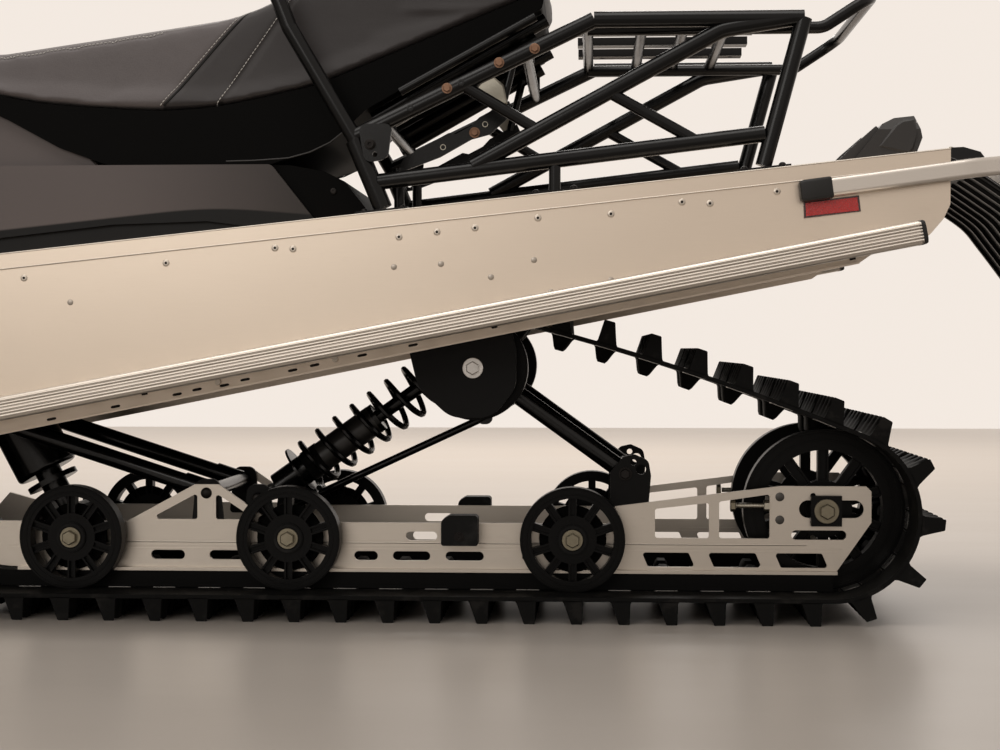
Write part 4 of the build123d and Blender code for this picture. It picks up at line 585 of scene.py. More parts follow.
@dataclass(frozen=True)
class Thread(Finish):
    """Twisted sewing thread."""

    colour: Triple = (0.62, 0.59, 0.55)

    def material(self) -> bpy.types.Material:
        """Build the material.

        Returns:
            The material.
        """
        graph = self.graph()
        twist = graph.noise(2600.0, 2.0)
        colour = graph.blend(twist, self.colour, tuple(c * 0.6 for c in self.colour))
        normal = graph.bump(twist, 0.0002, 0.6)
        return graph.finish(Base_Color=colour, Roughness=0.75 + twist * 0.1, Normal=normal)


class Finishes:
    """Every finish, made once and looked up by name."""

    def __init__(self, machine: Machine) -> None:
        """Make the materials.

        Args:
            machine: shared places.
        """
        seam = machine.at(0.957, 0.0, 0.906)
        kinds = [
            SheetAluminium("tunnel_sheet"),
            SheetAluminium("extruded_edge", (0.60, 0.55, 0.49), 0.42, (1.5, 200.0, 320.0), 0.0003),
            SheetAluminium("bumper_metal", (0.56, 0.52, 0.475), 0.42, (2.0, 160.0, 300.0), 0.0003),
            SheetAluminium("rail_metal", (0.50, 0.455, 0.40), 0.38, (2.0, 100.0, 420.0), 0.0002),
            SheetAluminium("rivet_metal", (0.50, 0.45, 0.39), 0.40, (30.0, 30.0, 30.0), 0.0001),
            # Darker metal for the dimples, as painted shade
            SheetAluminium("dimple_shade_metal", (0.34, 0.305, 0.265), 0.42, (30.0, 30.0, 30.0), 0.0001),
            SheetAluminium("cast_metal", (0.22, 0.22, 0.225), 0.5, (30.0, 30.0, 30.0), 0.0008),
            FramePaint("frame_paint"),
            FramePaint("bracket_black", (0.0030, 0.0028, 0.0027), 0.40, 0.00005, 0.006, 0.10),
            FramePaint("arm_paint", (0.0026, 0.0026, 0.0026), 0.18, 0.00004, 0.008, 0.26),
            FramePaint("spring_paint", (0.0026, 0.0026, 0.0026), 0.18, 0.00003, 0.006, 0.26),
            FramePaint("damper_paint", (0.024, 0.0225, 0.021), 0.34, 0.00003, 0.010, 0.40),
            MouldedRubber("track_rubber"),
            MouldedRubber("block_rubber", (0.006, 0.0058, 0.0056), (0.020, 0.019, 0.018), 0.5),
            MouldedRubber("flap_rubber", (0.0030, 0.0030, 0.0030), (0.007, 0.007, 0.007), 0.32, 0.16),
            MouldedRubber("grip_rubber", (0.006, 0.006, 0.006), (0.015, 0.015, 0.015), 0.7),
            MouldedPlastic("wheel_plastic", (0.0018, 0.0017, 0.0016), 0.34, 0.00003, 0.09),
            MouldedPlastic("wheel_web", (0.0010, 0.0009, 0.0008), 0.6, 0.00003, 0.03),
            MouldedPlastic("slider_plastic", (0.0022, 0.0021, 0.0020), 0.5, 0.00003, 0.06),
            MouldedPlastic("base_plastic", (0.0013, 0.0012, 0.0011), 0.55, 0.00003, 0.035),
            CoverPlastic("cover_plastic", machine),
            MouldedPlastic("cover_black", (0.0045, 0.0044, 0.0043), 0.45, 0.00004, 0.25),
            MouldedPlastic("cap_plastic", (0.012, 0.0115, 0.011), 0.5, 0.00006, 0.25),
            MouldedPlastic("body_black", (0.009, 0.009, 0.0095), 0.46),
            MouldedPlastic("ski_plastic", (0.008, 0.008, 0.0085), 0.38),
            MouldedPlastic("lamp_plastic", (0.030, 0.028, 0.027), 0.42),
            PaintedPanel("hood_paint"),
            PaintedPanel("panel_paint", (0.040, 0.041, 0.044)),
            SeatVinyl("seat_vinyl", seam=(seam.x, seam.z)),
            SeatVinyl("dark_vinyl", (0.008, 0.0075, 0.0072), 0.5),
            PlatedSteel("plated_steel"),
            PlatedSteel("yellow_zinc", (0.23, 0.205, 0.15), 0.38),
            PlatedSteel("bronze_steel", (0.20, 0.115, 0.075), 0.36),
            PlatedSteel("bright_steel", (0.62, 0.60, 0.57), 0.25),
            PlatedSteel("dark_steel", (0.085, 0.080, 0.075), 0.42),
            PlatedSteel("black_steel", (0.022, 0.020, 0.019), 0.40),
            ClearScreen("screen_plastic"),
            ClearScreen("lamp_glass", (0.92, 0.94, 0.96), 1.0),
            PaintedPanel("dark_glass", (0.004, 0.004, 0.005), 0.10),
            PrismLens("red_lens", (0.60, 0.010, 0.008)),
            PrismLens("dark_red", (0.040, 0.004, 0.004), 200.0),
            PrismLens("lamp_core", (0.62, 0.63, 0.65), 160.0),
            Thread("light_thread"),
        ]
        self.made = {kind.name: kind.material() for kind in kinds}

    def __getitem__(self, name: str) -> bpy.types.Material:
        """Material of a finish."""
        return self.made[name]

    def dress(self, node: str, name: str) -> None:
        """Give a CAD node its finish.

        Args:
            node: CAD node.
            name: finish.
        """
        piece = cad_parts[node]
        for slot in piece.material_slots:
            slot.material = self.made[name]
        if not piece.material_slots:
            piece.data.materials.append(self.made[name])


def placed(name: str, data: bpy.types.ID) -> bpy.types.Object:
    """Put an object into the scene.

    Args:
        name: its name.
        data: its mesh, lamp or camera.

    Returns:
        The object.
    """
    made = bpy.data.objects.new(name, data)
    bpy.context.scene.collection.objects.link(made)
    return made


class Head(Enum):
    """Kinds of fastener head, as (height, radius) shares of a turned profile."""

    HEX = ((0.0, 1.0), (0.85, 1.0), (1.0, 0.86))
    DOME = ((0.0, 1.0), (0.4, 0.94), (0.75, 0.7), (1.0, 0.3))
    SOCKET = ((0.0, 1.0), (0.9, 1.0), (1.0, 0.92), (1.0, 0.52), (0.4, 0.5))
    RIVET = ((0.0, 1.0), (0.35, 0.96), (0.85, 0.72), (1.0, 0.48), (0.95, 0.38), (0.2, 0.34))
    PLUG = ((0.0, 1.0), (0.7, 0.98), (1.0, 0.9))


@dataclass(frozen=True)
class Fastener:
    """Head of a bolt, screw, rivet or plug; a height of 0 stands for 0.8 of its radius."""

    head: Head
    radius: float
    height: float = 0.0
    washer: float = 0.0


class Shape:
    """Mesh gathered from simple forms."""

    def __init__(self) -> None:
        """Start an empty mesh."""
        self.mesh = bmesh.new()

    def rings(self, rings: Sequence[Sequence[Vector]], caps: bool = True) -> None:
        """Skin a row of closed rings of points.

        Args:
            rings: rings with equally many points.
            caps: whether the first and last rings are filled.
        """
        rows = [[self.mesh.verts.new(point) for point in ring] for ring in rings]
        count = len(rows[0])
        for low, high in zip(rows, rows[1:]):
            for index in range(count):
                following = (index + 1) % count
                self.mesh.faces.new((low[index], low[following], high[following], high[index]))
        if caps:
            self.mesh.faces.new(list(reversed(rows[0])))
            self.mesh.faces.new(rows[-1])

    def lathe(self, origin: Vector, axis: Vector, profile: Sequence[Pair], sides: int = 24,
              caps: bool = True) -> None:
        """Turned form.

        Args:
            origin: point where the profile's height is 0.
            axis: direction of the axis.
            profile: (height, radius) pairs.
            sides: points round the axis.
            caps: whether the ends are filled.
        """
        turn = axis.to_track_quat("Z", "X").to_matrix()
        rings = []
        for height, radius in profile:
            ring = []
            for index in range(sides):
                angle = 2 * math.pi * index / sides
                across, up = radius * math.cos(angle), radius * math.sin(angle)
                ring.append(origin + turn @ Vector((across, up, height)))
            rings.append(ring)
        self.rings(rings, caps=caps)

    def collar(self, origin: Vector, axis: Vector, inner: float, outer: float, height: float,
               sides: int = 32) -> None:
        """Flat ring with a bevelled edge.

        Args:
            origin: middle of its seat.
            axis: direction that it stands up in.
            inner: inner radius.
            outer: outer radius.
            height: thickness.
            sides: points round it.
        """
        bevel = height * 0.35
        profile = [(0.0, outer), (height - bevel, outer), (height, outer - bevel), (height, inner + bevel),
                   (height - bevel, inner), (0.0, inner)]
        self.lathe(origin, axis, profile, sides, caps=False)

    def fasten(self, origin: Vector, axis: Vector, kind: Fastener) -> None:
        """Head of a bolt or rivet, on its washer if it has one.

        Args:
            origin: middle of its seat.
            axis: direction that it stands up in.
            kind: its head, sizes and washer, whose radius is a share of the head's.
        """
        if kind.washer:
            thick, rim = kind.radius * 0.22, kind.radius * kind.washer
            self.lathe(origin, axis, ((0.0, rim), (thick * 0.8, rim), (thick, rim * 0.96)))
            origin = origin + axis.normalized() * thick
        height = kind.height or kind.radius * 0.8
        profile = [(share * height, part * kind.radius) for share, part in kind.head.value]
        self.lathe(origin, axis, profile, 6 if kind.head is Head.HEX else 14)

    def prism(self, outline: Sequence[Vector], sweep: Vector) -> None:
        """Flat outline swept along a vector.

        Args:
            outline: corners of the outline.
            sweep: from the first face to the second.
        """
        self.rings([outline, [point + sweep for point in outline]])

    def bevelled(self, outline: Sequence[Vector], sweep: Vector, bevel: float) -> None:
        """Flat outline swept along a vector, its second face drawn in by a bevel.

        Args:
            outline: corners of the outline.
            sweep: from the first face to the second.
            bevel: how far the second face is drawn in.
        """
        middle = sum(outline, Vector()) / len(outline)
        way = sweep.normalized()
        drawn = [point + (middle - point).normalized() * bevel + sweep for point in outline]
        self.rings([outline, [point + sweep - way * bevel * 0.7 for point in outline], drawn])

    def bar(self, stations: Sequence[tuple[Vector, float, float]], side: Vector, up: Vector,
            corner: float) -> None:
        """Bar of rounded rectangular section.

        Args:
            stations: (centre, half width, half height) along the bar.
            side: direction of the width.
            up: direction of the height.
            corner: corner radius as a share of the smaller half.
        """
        rings = []
        for centre, half_width, half_height in stations:
            radius = min(half_width, half_height) * corner
            ring = []
            for quarter, (across, rise) in enumerate(((1, 1), (-1, 1), (-1, -1), (1, -1))):
                for step in range(5):
                    angle = math.pi / 2 * (quarter + step / 4)
                    width = across * (half_width - radius) + radius * math.cos(angle)
                    height = rise * (half_height - radius) + radius * math.sin(angle)
                    ring.append(centre + side * width + up * height)
            rings.append(ring)
        self.rings(rings)

    def tube(self, points: Sequence[Vector], radius: float, sides: int = 12) -> None:
        """Round bar along a row of points.

        Args:
            points: centre line.
            radius: radius of the bar.
            sides: points round it.
        """
        rings = []
        side = None
        for index, point in enumerate(points):
            before = points[max(index - 1, 0)]
            after = points[min(index + 1, len(points) - 1)]
            along = (after - before).normalized()
            side = along.orthogonal() if side is None else side - along * side.dot(along)
            side.normalize()
            other = along.cross(side)
            angles = [2 * math.pi * k / sides for k in range(sides)]
            rings.append([point + (side * math.cos(a) + other * math.sin(a)) * radius for a in angles])
        self.rings(rings)


def shapes(count: int) -> list[Shape]:
    """That many empty meshes."""
    return [Shape() for _ in range(count)]


@dataclass
class Group:
    """Sub-assembly with the places and finishes that it shares with the others. Lengths are in metres."""

    machine: Machine
    finishes: Finishes

    def at(self, x: float, y: float, z: float) -> Vector:
        """Point from x in metres forward of the rear axle."""
        return self.machine.at(x, y, z)

    def row(self, places: Sequence[Pair], y: float) -> list[Vector]:
        """Points for the (x, z) places of a side view, all at one y."""
        return [self.machine.at(x, y, z) for x, z in places]

    def add(self, shape: Shape, name: str, finish: str, body: Body = Body.CHASSIS,
            smooth: float = 35.0) -> bpy.types.Object:
        """Make a mesh into a piece that rides on a body.

        Args:
            shape: the mesh.
            name: name of the piece.
            finish: name of its finish.
            body: body that carries it.
            smooth: edges sharper than this many degrees stay sharp.

        Returns:
            The piece.
        """
        bmesh.ops.recalc_face_normals(shape.mesh, faces=shape.mesh.faces)
        for face in shape.mesh.faces:
            face.smooth = True
        for edge in shape.mesh.edges:
            if len(edge.link_faces) == 2 and edge.calc_face_angle(0.0) > math.radians(smooth):
                edge.smooth = False
        data = bpy.data.meshes.new(name)
        shape.mesh.to_mesh(data)
        shape.mesh.free()
        data.materials.append(self.finishes[finish])
        made = placed(name, data)
        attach(made, body.value)
        LOG.info("%s: %d faces", name, len(data.polygons))
        return made

    def fasten(self, shape: Shape, places: Sequence[Pair], face: float, kind: Fastener) -> None:
        """Fastener heads at (x, z) places, standing out from a face on each side.

        Args:
            shape: mesh that takes them.
            places: their places in a side view.
            face: the left face's distance from the middle.
            kind: their head.
        """
        for side in SIDES:
            for seat in self.row(places, side * face):
                shape.fasten(seat, ACROSS * side, kind)


@dataclass
class BeltPath:
    """Closed path of the belt's inner face round its pulleys, in a side view."""

    pulleys: tuple[Triple, ...] = (
        (0.0, 0.1685, 0.127), (1.290, 0.3015, 0.260), (1.568, 0.335, 0.0925), (0.549, 0.394, 0.082),
    )
    bulge: float = 3.980

    def __post_init__(self) -> None:
        """Work out the arcs and the straight runs between them."""
        rear, nose, drive, carrier = self.pulleys
        hill = self.hill(carrier, rear)
        leave = [self.leaving(first, last) for first, last in ((rear, nose), (nose, drive), (drive, carrier))]
        over, down = self.seen(hill, carrier), self.seen(hill, rear)
        arcs = [(rear, down, leave[0]), (nose, leave[0], leave[1]), (drive, leave[1], leave[2]),
                (carrier, leave[2], over), (hill, over, down)]
        self.runs: list[tuple[float, Triple, float, float, Vector]] = []
        for (centre, start, stop), (ahead, begin, _) in zip(arcs, arcs[1:] + arcs[:1]):
            turn = (stop - start) % (2 * math.pi)
            self.runs.append((centre[2] * turn, centre, start, 1 / centre[2], Vector((0.0, 0.0))))
            gap = self.on(ahead, begin) - self.on(centre, stop)
            if gap.length > 1e-5:
                self.runs.append((gap.length, (*self.on(centre, stop), 0.0), stop, 0.0, gap.normalized()))
        self.length = sum(run[0] for run in self.runs)

    def hill(self, first: Triple, last: Triple) -> Triple:
        """Large circle that lies over two pulleys.

        Args:
            first: pulley where the arc starts.
            last: pulley where it ends.

        Returns:
            Centre and radius.
        """
        reach, back = self.bulge - first[2], self.bulge - last[2]
        dx, dz = last[0] - first[0], last[1] - first[1]
        span = math.hypot(dx, dz)
        along = (reach ** 2 - back ** 2 + span ** 2) / (2 * span)
        across = math.sqrt(reach ** 2 - along ** 2)
        x, z = first[0] + (along * dx - across * dz) / span, first[1] + (along * dz + across * dx) / span
        return x, z, self.bulge

    def leaving(self, first: Triple, last: Triple) -> float:
        """Outward angle of the straight run from one pulley to the next."""
        dx, dz = last[0] - first[0], last[1] - first[1]
        return math.atan2(dz, dx) - math.acos((first[2] - last[2]) / math.hypot(dx, dz))

    def seen(self, centre: Triple, point: Triple) -> float:
        """Angle of a point seen from a centre."""
        return math.atan2(point[1] - centre[1], point[0] - centre[0])

    def on(self, centre: Triple, angle: float) -> Vector:
        """Point of a pulley's rim at an angle."""
        return Vector((centre[0] + centre[2] * math.cos(angle), centre[1] + centre[2] * math.sin(angle)))

    def place(self, distance: float) -> Triple:
        """Place along the path.

        Args:
            distance: metres along the path from the first run's start.

        Returns:
            x, z and the outward angle.
        """
        left = distance % self.length
        for size, centre, start, bend, way in self.runs:
            if left <= size:
                break
            left -= size
        if bend:
            angle = start + left * bend
            point = self.on(centre, angle)
        else:
            angle = start
            point = Vector(centre[:2]) + way * left
        return point.x, point.y, angle


@dataclass
class TrackLoop(Group):
    """Rubber track: belt with its windows, combed lug blocks, drive lugs and steel clips."""

    width: float = 0.500
    thickness: float = 0.0065
    rows: int = 54
    phase: float = 0.25
    shares: tuple[float, ...] = (0.0, 0.11, 0.225, 0.36, 0.5, 0.64, 0.775, 0.89)
    window: Pair = (0.225, 0.775)
    columns: tuple[float, ...] = (-0.250, -0.170, -0.140, 0.0, 0.140, 0.170, 0.250)
    window_columns: tuple[int, ...] = (1, 4)
    blocks: Pairs = ((-0.250, -0.0943), (-0.0723, 0.0723), (0.0943, 0.250))
    tooth: float = 0.0390
    comb_depth: float = 0.0100
    rib_depth: float = 0.0030
    lug_profile: Pairs = (
        (-0.0168, -0.001), (-0.0140, 0.003), (-0.0086, 0.018), (-0.0031, 0.0340), (-0.0015, 0.0350),
        (0.0128, 0.0350), (0.0143, 0.0338), (0.0148, 0.018), (0.0154, 0.003), (0.0172, -0.001),
    )
    lug_height: float = 0.035
    drive_profile: Pairs = (
        (-0.0200, 0.001), (-0.0162, -0.004), (-0.0096, -0.020), (-0.0062, -0.0248), (0.0062, -0.0248),
        (0.0096, -0.020), (0.0162, -0.004), (0.0200, 0.001),
    )
    drive_plan: Pairs = ((0.020, 0.86), (0.024, 1.0), (0.062, 1.0), (0.066, 0.86))
    clip_y: Pair = (0.1395, 0.1695)
    clip_half: float = 0.0181
    clip_corner: float = 0.001
    clip_proud: float = 0.0008
    path: BeltPath = field(default_factory=BeltPath)

    def build(self) -> None:
        """Make the belt, lugs and clips."""
        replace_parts(self.add(self.belt(), "track_belt", "track_rubber"), "track")
        lugs, drivers, clips = shapes(3)
        half, cut = self.clip_half, self.clip_corner
        low, high = -self.clip_proud, self.thickness + self.clip_proud
        clip = [(-half, low + cut), (-half + cut, low), (half - cut, low), (half, low + cut),
                (half, high - cut), (half - cut, high), (-half + cut, high), (-half, high - cut)]
        for row in range(self.rows):
            place = self.path.place((row + self.phase) / self.rows * self.path.length)
            for first, last in self.blocks:
                self.block(lugs, place, first, last)
            for side in SIDES:
                plan = [(side * y, size) for y, size in self.drive_plan]
                self.moulding(drivers, place, self.drive_profile, plan)
                self.moulding(clips, place, clip, [(side * y, 1.0) for y in self.clip_y])
        self.add(lugs, "track_lugs", "track_rubber", smooth=28.0)
        self.add(drivers, "drive_lugs", "track_rubber")
        self.add(clips, "track_clips", "bright_steel")

    def spot(self, place: Triple, y: float, across: float, rise: float) -> Vector:
        """Point beside a place on the belt's inner face.

        Args:
            place: x, z and outward angle.
            y: station across the belt.
            across: way along the belt.
            rise: way outwards.

        Returns:
            The point.
        """
        x, z, angle = place
        cos, sin = math.cos(angle), math.sin(angle)
        return self.at(x + across * sin + rise * cos, y, z - across * cos + rise * sin)

    def belt(self) -> Shape:
        """Band with windows between its rows.

        Returns:
            The mesh.
        """
        shape = Shape()
        stations = [(row, share) for row in range(self.rows) for share in self.shares]
        grid = []
        for row, share in stations:
            place = self.path.place((row + self.phase + share) / self.rows * self.path.length)
            line = [[shape.mesh.verts.new(self.spot(place, y, 0.0, rise)) for y in self.columns]
                    for rise in (0.0, self.thickness)]
            grid.append(line)
        count, cells = len(stations), len(self.columns) - 1

        def filled(station: int, column: int) -> bool:
            """Whether a cell of the band is there.

            Args:
                station: place along the belt.
                column: strip across the belt.

            Returns:
                False where there is a window or the belt has ended.
            """
            inside = self.window[0] <= stations[station % count][1] < self.window[1]
            return 0 <= column < cells and not (inside and column in self.window_columns)

        faces = shape.mesh.faces
        for station in range(count):
            here, there = grid[station], grid[(station + 1) % count]
            for low in range(cells):
                if not filled(station, low):
                    continue
                high = low + 1
                for line, ahead in zip(here, there):
                    faces.new((line[low], line[high], ahead[high], ahead[low]))
                walls = {(0, -1): (here, low, there, low), (0, 1): (here, high, there, high),
                         (-1, 0): (here, low, here, high), (1, 0): (there, low, there, high)}
                for (along, across), (first, start, last, stop) in walls.items():
                    if not filled(station + along, low + across):
                        faces.new((first[0][start], first[1][start], last[1][stop], last[0][stop]))
        return shape

    def block(self, shape: Shape, place: Triple, low: float, high: float) -> None:
        """Lug block with a combed tip and ribs down its faces.

        Args:
            shape: mesh that takes it.
            place: place of the row on the belt.
            low: its low end across the belt.
            high: its high end.
        """
        teeth = round((high - low) / self.tooth)
        pitch = (high - low) / teeth
        stations = [(0.0, 0.0)]
        for tooth in range(teeth):
            stations += [(tooth + 0.40, 0.0), (tooth + 0.52, 1.0), (tooth + 0.90, 1.0), (tooth + 1.0, 0.0)]
        rings = []
        for share, cut in stations:
            ring = []
            for across, rise in self.lug_profile:
                height = max(0.0, rise) / self.lug_height
                inward = self.rib_depth * cut * height * (1 if across < 0 else -1)
                drop = self.comb_depth * cut * (1.0 if height > 0.9 else 0.0)
                rise += self.thickness - drop
                ring.append(self.spot(place, low + share * pitch, across + inward, rise))
            rings.append(ring)
        shape.rings(rings)

    def moulding(self, shape: Shape, place: Triple, profile: Sequence[Pair], plan: Sequence[Pair]) -> None:
        """Drive lug or clip, whose profile lies along the belt.

        Args:
            shape: mesh that takes it.
            place: place of the row on the belt.
            profile: way along the belt and rise from its inner face.
            plan: stations across the belt and the profile's size there.
        """
        shape.rings([[self.spot(place, y, along * size, rise * (size if rise < 0 else 1.0))
                      for along, rise in profile] for y, size in plan])


@dataclass
class WheelHardware(Group):
    """Washers, bolts, seals and rim steps of the wheels inside the track."""

    idler_x: tuple[float, ...] = (1.195, 0.847, 0.398)
    stagger: float = 0.030
    idler_z: float = 0.124
    idler_face: float = 0.197
    idler_radius: float = 0.0825
    carrier: Pair = (0.549, 0.394)
    carrier_face: float = 0.218
    carrier_radius: float = 0.082
    plate_face: float = 0.2717
    rear_z: float = 0.1685
    rear_face: float = 0.129
    rear_radius: float = 0.127
    adjuster_face: float = 0.1673
    web_back: float = 0.0235
    web: Triple = (0.0250, 0.0530, 0.0030)
    seal: Triple = (0.0176, 0.0226, 0.0010)
    steps: tuple[Triple, ...] = ((0.955, 0.985, 0.0010), (0.855, 0.880, 0.0008))
    idler_bolt: Fastener = Fastener(Head.HEX, 0.0118, 0.0088)
    rear_bolt: Fastener = Fastener(Head.HEX, 0.0125, 0.0098)
    carrier_bolt: Fastener = Fastener(Head.HEX, 0.0105, washer=1.5)
    idler_washer: Pairs = ((0.0, 0.0165), (0.0022, 0.0165), (0.0027, 0.0160))
    rear_washer: Pairs = ((0.0, 0.0195), (0.0026, 0.0195), (0.0032, 0.0188))

    def build(self) -> None:
        """Make the hardware of every wheel."""
        zinc, seals, steps, webs, bright = shapes(5)
        for side, shift in ((1, 0.0), (-1, self.stagger)):
            out = ACROSS * side
            for x in self.idler_x:
                hub = self.at(x - shift, side * self.idler_face, self.idler_z)
                self.bolt(zinc, hub, out, self.idler_washer, self.idler_bolt)
                self.rim(seals, steps, hub, out, self.idler_radius)
                webs.collar(hub - out * self.web_back, out, *self.web, 40)
            x, z = self.carrier
            self.rim(seals, steps, self.at(x, side * self.carrier_face, z), out, self.carrier_radius)
            bright.fasten(self.at(x, side * self.plate_face, z), out, self.carrier_bolt)
            self.rim(seals, steps, self.at(0.0, side * self.rear_face, self.rear_z), out, self.rear_radius)
            end = self.at(0.0, side * self.adjuster_face, self.rear_z)
            self.bolt(zinc, end, out, self.rear_washer, self.rear_bolt)
        self.add(zinc, "axle_bolts", "yellow_zinc")
        self.add(webs, "idler_webs", "wheel_web")
        self.add(bright, "carrier_bolts", "bright_steel")
        self.add(seals, "bearing_seals", "block_rubber")
        self.add(steps, "rim_steps", "wheel_plastic")

    def bolt(self, shape: Shape, seat: Vector, out: Vector, washer: Pairs, kind: Fastener) -> None:
        """Axle bolt on a thick washer.

        Args:
            shape: mesh that takes it.
            seat: middle of the washer's seat.
            out: way out of the seat.
            washer: the washer's turned profile.
            kind: the bolt's head.
        """
        shape.lathe(seat, out, washer)
        shape.fasten(seat + out * washer[-1][0], out, kind)

    def rim(self, seals: Shape, steps: Shape, hub: Vector, out: Vector, radius: float) -> None:
        """Seal round the hub and two fine steps on the rim.

        Args:
            seals: mesh that takes the seal.
            steps: mesh that takes the steps.
            hub: middle of the wheel's outer face.
            out: way out of that face.
            radius: the wheel's radius.
        """
        seals.collar(hub, out, *self.seal)
        for inner, outer, height in self.steps:
            steps.collar(hub - out * 0.0002, out, radius * inner, radius * outer, height, 64)


@dataclass
class SkidTrim(Group):
    """Bolts, plugs, adjusters, rail beads and damper sleeve of the open suspension."""

    plugs: Pairs = ((0.072, 0.190), (0.072, 0.1537))
    black_bolts: Pairs = ((0.9856, 0.192), (0.903, 0.184), (1.259, 0.149), (0.893, 0.148))
    foot_bolt: Pair = (0.315, 0.225)
    foot_face: float = 0.1505
    block_bolt: Pair = (0.5765, 0.1270)
    block_face: float = 0.190
    adjuster_z: float = 0.1757
    adjuster_x: Pair = (0.0885, 0.1420)
    bead_z: float = 0.1140
    bead_x: Pair = (0.030, 1.215)
    damper_foot: Pair = (0.903, 0.184)
    damper_head: Pair = (0.610, 0.393)
    damper_radius: float = 0.0254
    sleeve: Pairs = ((0.20, 1.0), (0.575, 1.0), (0.590, 0.94), (0.597, 0.7))
    thread_pitch: float = 0.0012
    thread_radii: Pair = (0.0040, 0.0046)
    plug: Fastener = Fastener(Head.PLUG, 0.0072, 0.0010)
    rail_bolt: Fastener = Fastener(Head.DOME, 0.0092, 0.0050)
    foot_head: Fastener = Fastener(Head.HEX, 0.0085, washer=1.3)
    block_head: Fastener = Fastener(Head.SOCKET, 0.0052, washer=1.5)
    adjuster_head: Fastener = Fastener(Head.HEX, 0.0098, 0.0075)
    lock_nut: Fastener = Fastener(Head.HEX, 0.0095, 0.0085)

    def build(self) -> None:
        """Make the trim on both rails."""
        plugs, black, zinc, rods, beads = shapes(5)
        face = self.machine.rail_face
        self.fasten(plugs, self.plugs, face, self.plug)
        self.fasten(black, self.black_bolts, face, self.rail_bolt)
        self.fasten(black, (self.foot_bolt,), self.foot_face, self.foot_head)
        self.fasten(black, (self.block_bolt,), self.block_face, self.block_head)
        for side in SIDES:
            low, high = (self.at(x, side * self.machine.rail_y, self.adjuster_z) for x in self.adjuster_x)
            rods.lathe(low, ALONG, [(self.thread_pitch * k, self.thread_radii[k % 2]) for k in range(44)], 12)
            zinc.fasten(high, ALONG, self.adjuster_head)
            rods.fasten(low, ALONG, self.lock_nut)
            beads.tube([self.at(x, side * (face - 0.0002), self.bead_z) for x in self.bead_x], 0.0014, 8)
        self.add(beads, "rail_beads", "rail_metal")
        self.damper()
        self.add(plugs, "rail_plugs", "dark_steel")
        self.add(black, "skid_bolts", "black_steel")
        self.add(zinc, "adjuster_heads", "yellow_zinc")
        self.add(rods, "adjuster_threads", "plated_steel")

    def damper(self) -> None:
        """Painted sleeve and threaded collar of the rear damper."""
        foot = self.at(self.damper_foot[0], 0.0, self.damper_foot[1])
        run = self.at(self.damper_head[0], 0.0, self.damper_head[1]) - foot
        full, size = run.length, self.damper_radius
        sleeve = [(share * full, size * scale) for share, scale in self.sleeve]
        body = Shape()
        body.lathe(foot, run, sleeve, 32)
        self.add(body, "damper_sleeve", "damper_paint")
        thread = [(0.19 * full, size)]
        for turn in range(14):
            height = 0.195 * full + turn * 0.0022
            thread += [(height, size + 0.0008), (height + 0.0011, size + 0.0018)]
        collar = Shape()
        collar.lathe(foot, run, thread, 28)
        self.add(collar, "damper_thread", "block_rubber")


@dataclass
class SnowFlap(Group):
    """Ribbed flap that hangs back from the tunnel's end."""

    line: Pairs = (
        (-0.150, 0.7160), (-0.180, 0.7120), (-0.215, 0.6930), (-0.258, 0.6640), (-0.2927, 0.6379),
        (-0.3175, 0.6075), (-0.3582, 0.5532), (-0.392, 0.505), (-0.405, 0.480),
    )
    half: float = 0.230
    thickness: float = 0.005
    ribs: int = 9
    rib_half: float = 0.0075
    rib_proud: float = 0.0050
    first_rib: float = 0.26

    def build(self) -> None:
        """Make the flap."""
        shape = Shape()
        places = self.curve(64)
        self.strip(shape, places, 0.0, self.half, self.thickness / 2, 0.003)
        lower = places[int(len(places) * self.first_rib):-2]
        for rib in range(self.ribs):
            y = self.half * 0.90 * (2 * rib / (self.ribs - 1) - 1)
            self.strip(shape, lower, y, self.rib_half, self.thickness / 2 + self.rib_proud, 0.004)
        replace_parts(self.add(shape, "ribbed_flap", "flap_rubber"), "snow_flap")

    def curve(self, count: int) -> list[Contact]:
        """Smooth line through the corners.

        Args:
            count: places on the line.

        Returns:
            Places and the flap's normal there.
        """
        corners = [Vector(point) for point in self.line]
        places = []
        for index in range(count):
            along = index / (count - 1) * (len(corners) - 1)
            first = min(int(along), len(corners) - 2)
            share = along - first
            before, start = corners[max(first - 1, 0)], corners[first]
            stop, after = corners[first + 1], corners[min(first + 2, len(corners) - 1)]
            pull, push = (stop - before) * 0.5, (after - start) * 0.5
            square, cube = share ** 2, share ** 3
            point = start * (2 * cube - 3 * square + 1) + pull * (cube - 2 * square + share)
            point += stop * (3 * square - 2 * cube) + push * (cube - square)
            places.append(point)
        result = []
        for index, point in enumerate(places):
            way = (places[min(index + 1, count - 1)] - places[max(index - 1, 0)]).normalized()
            result.append((point, Vector((-way.y, way.x))))
        return result

    def strip(self, shape: Shape, places: Sequence[Contact], y: float, half: float,
              rise: float, edge: float) -> None:
        """Strip of bevelled section along the flap.

        Args:
            shape: mesh that takes it.
            places: places and normals.
            y: its middle across the machine.
            half: half its width.
            rise: half its thickness.
            edge: bevel at its sides.
        """
        section = [(-half, -rise * 0.4), (-half + edge, -rise), (half - edge, -rise), (half, -rise * 0.4),
                   (half, rise * 0.4), (half - edge, rise), (-half + edge, rise), (-half, rise * 0.4)]
        rings = []
        for point, normal in places:
            rings.append([self.at(point.x + normal.x * up, y + across, point.y + normal.y * up)
                          for across, up in section])
        shape.rings(rings)


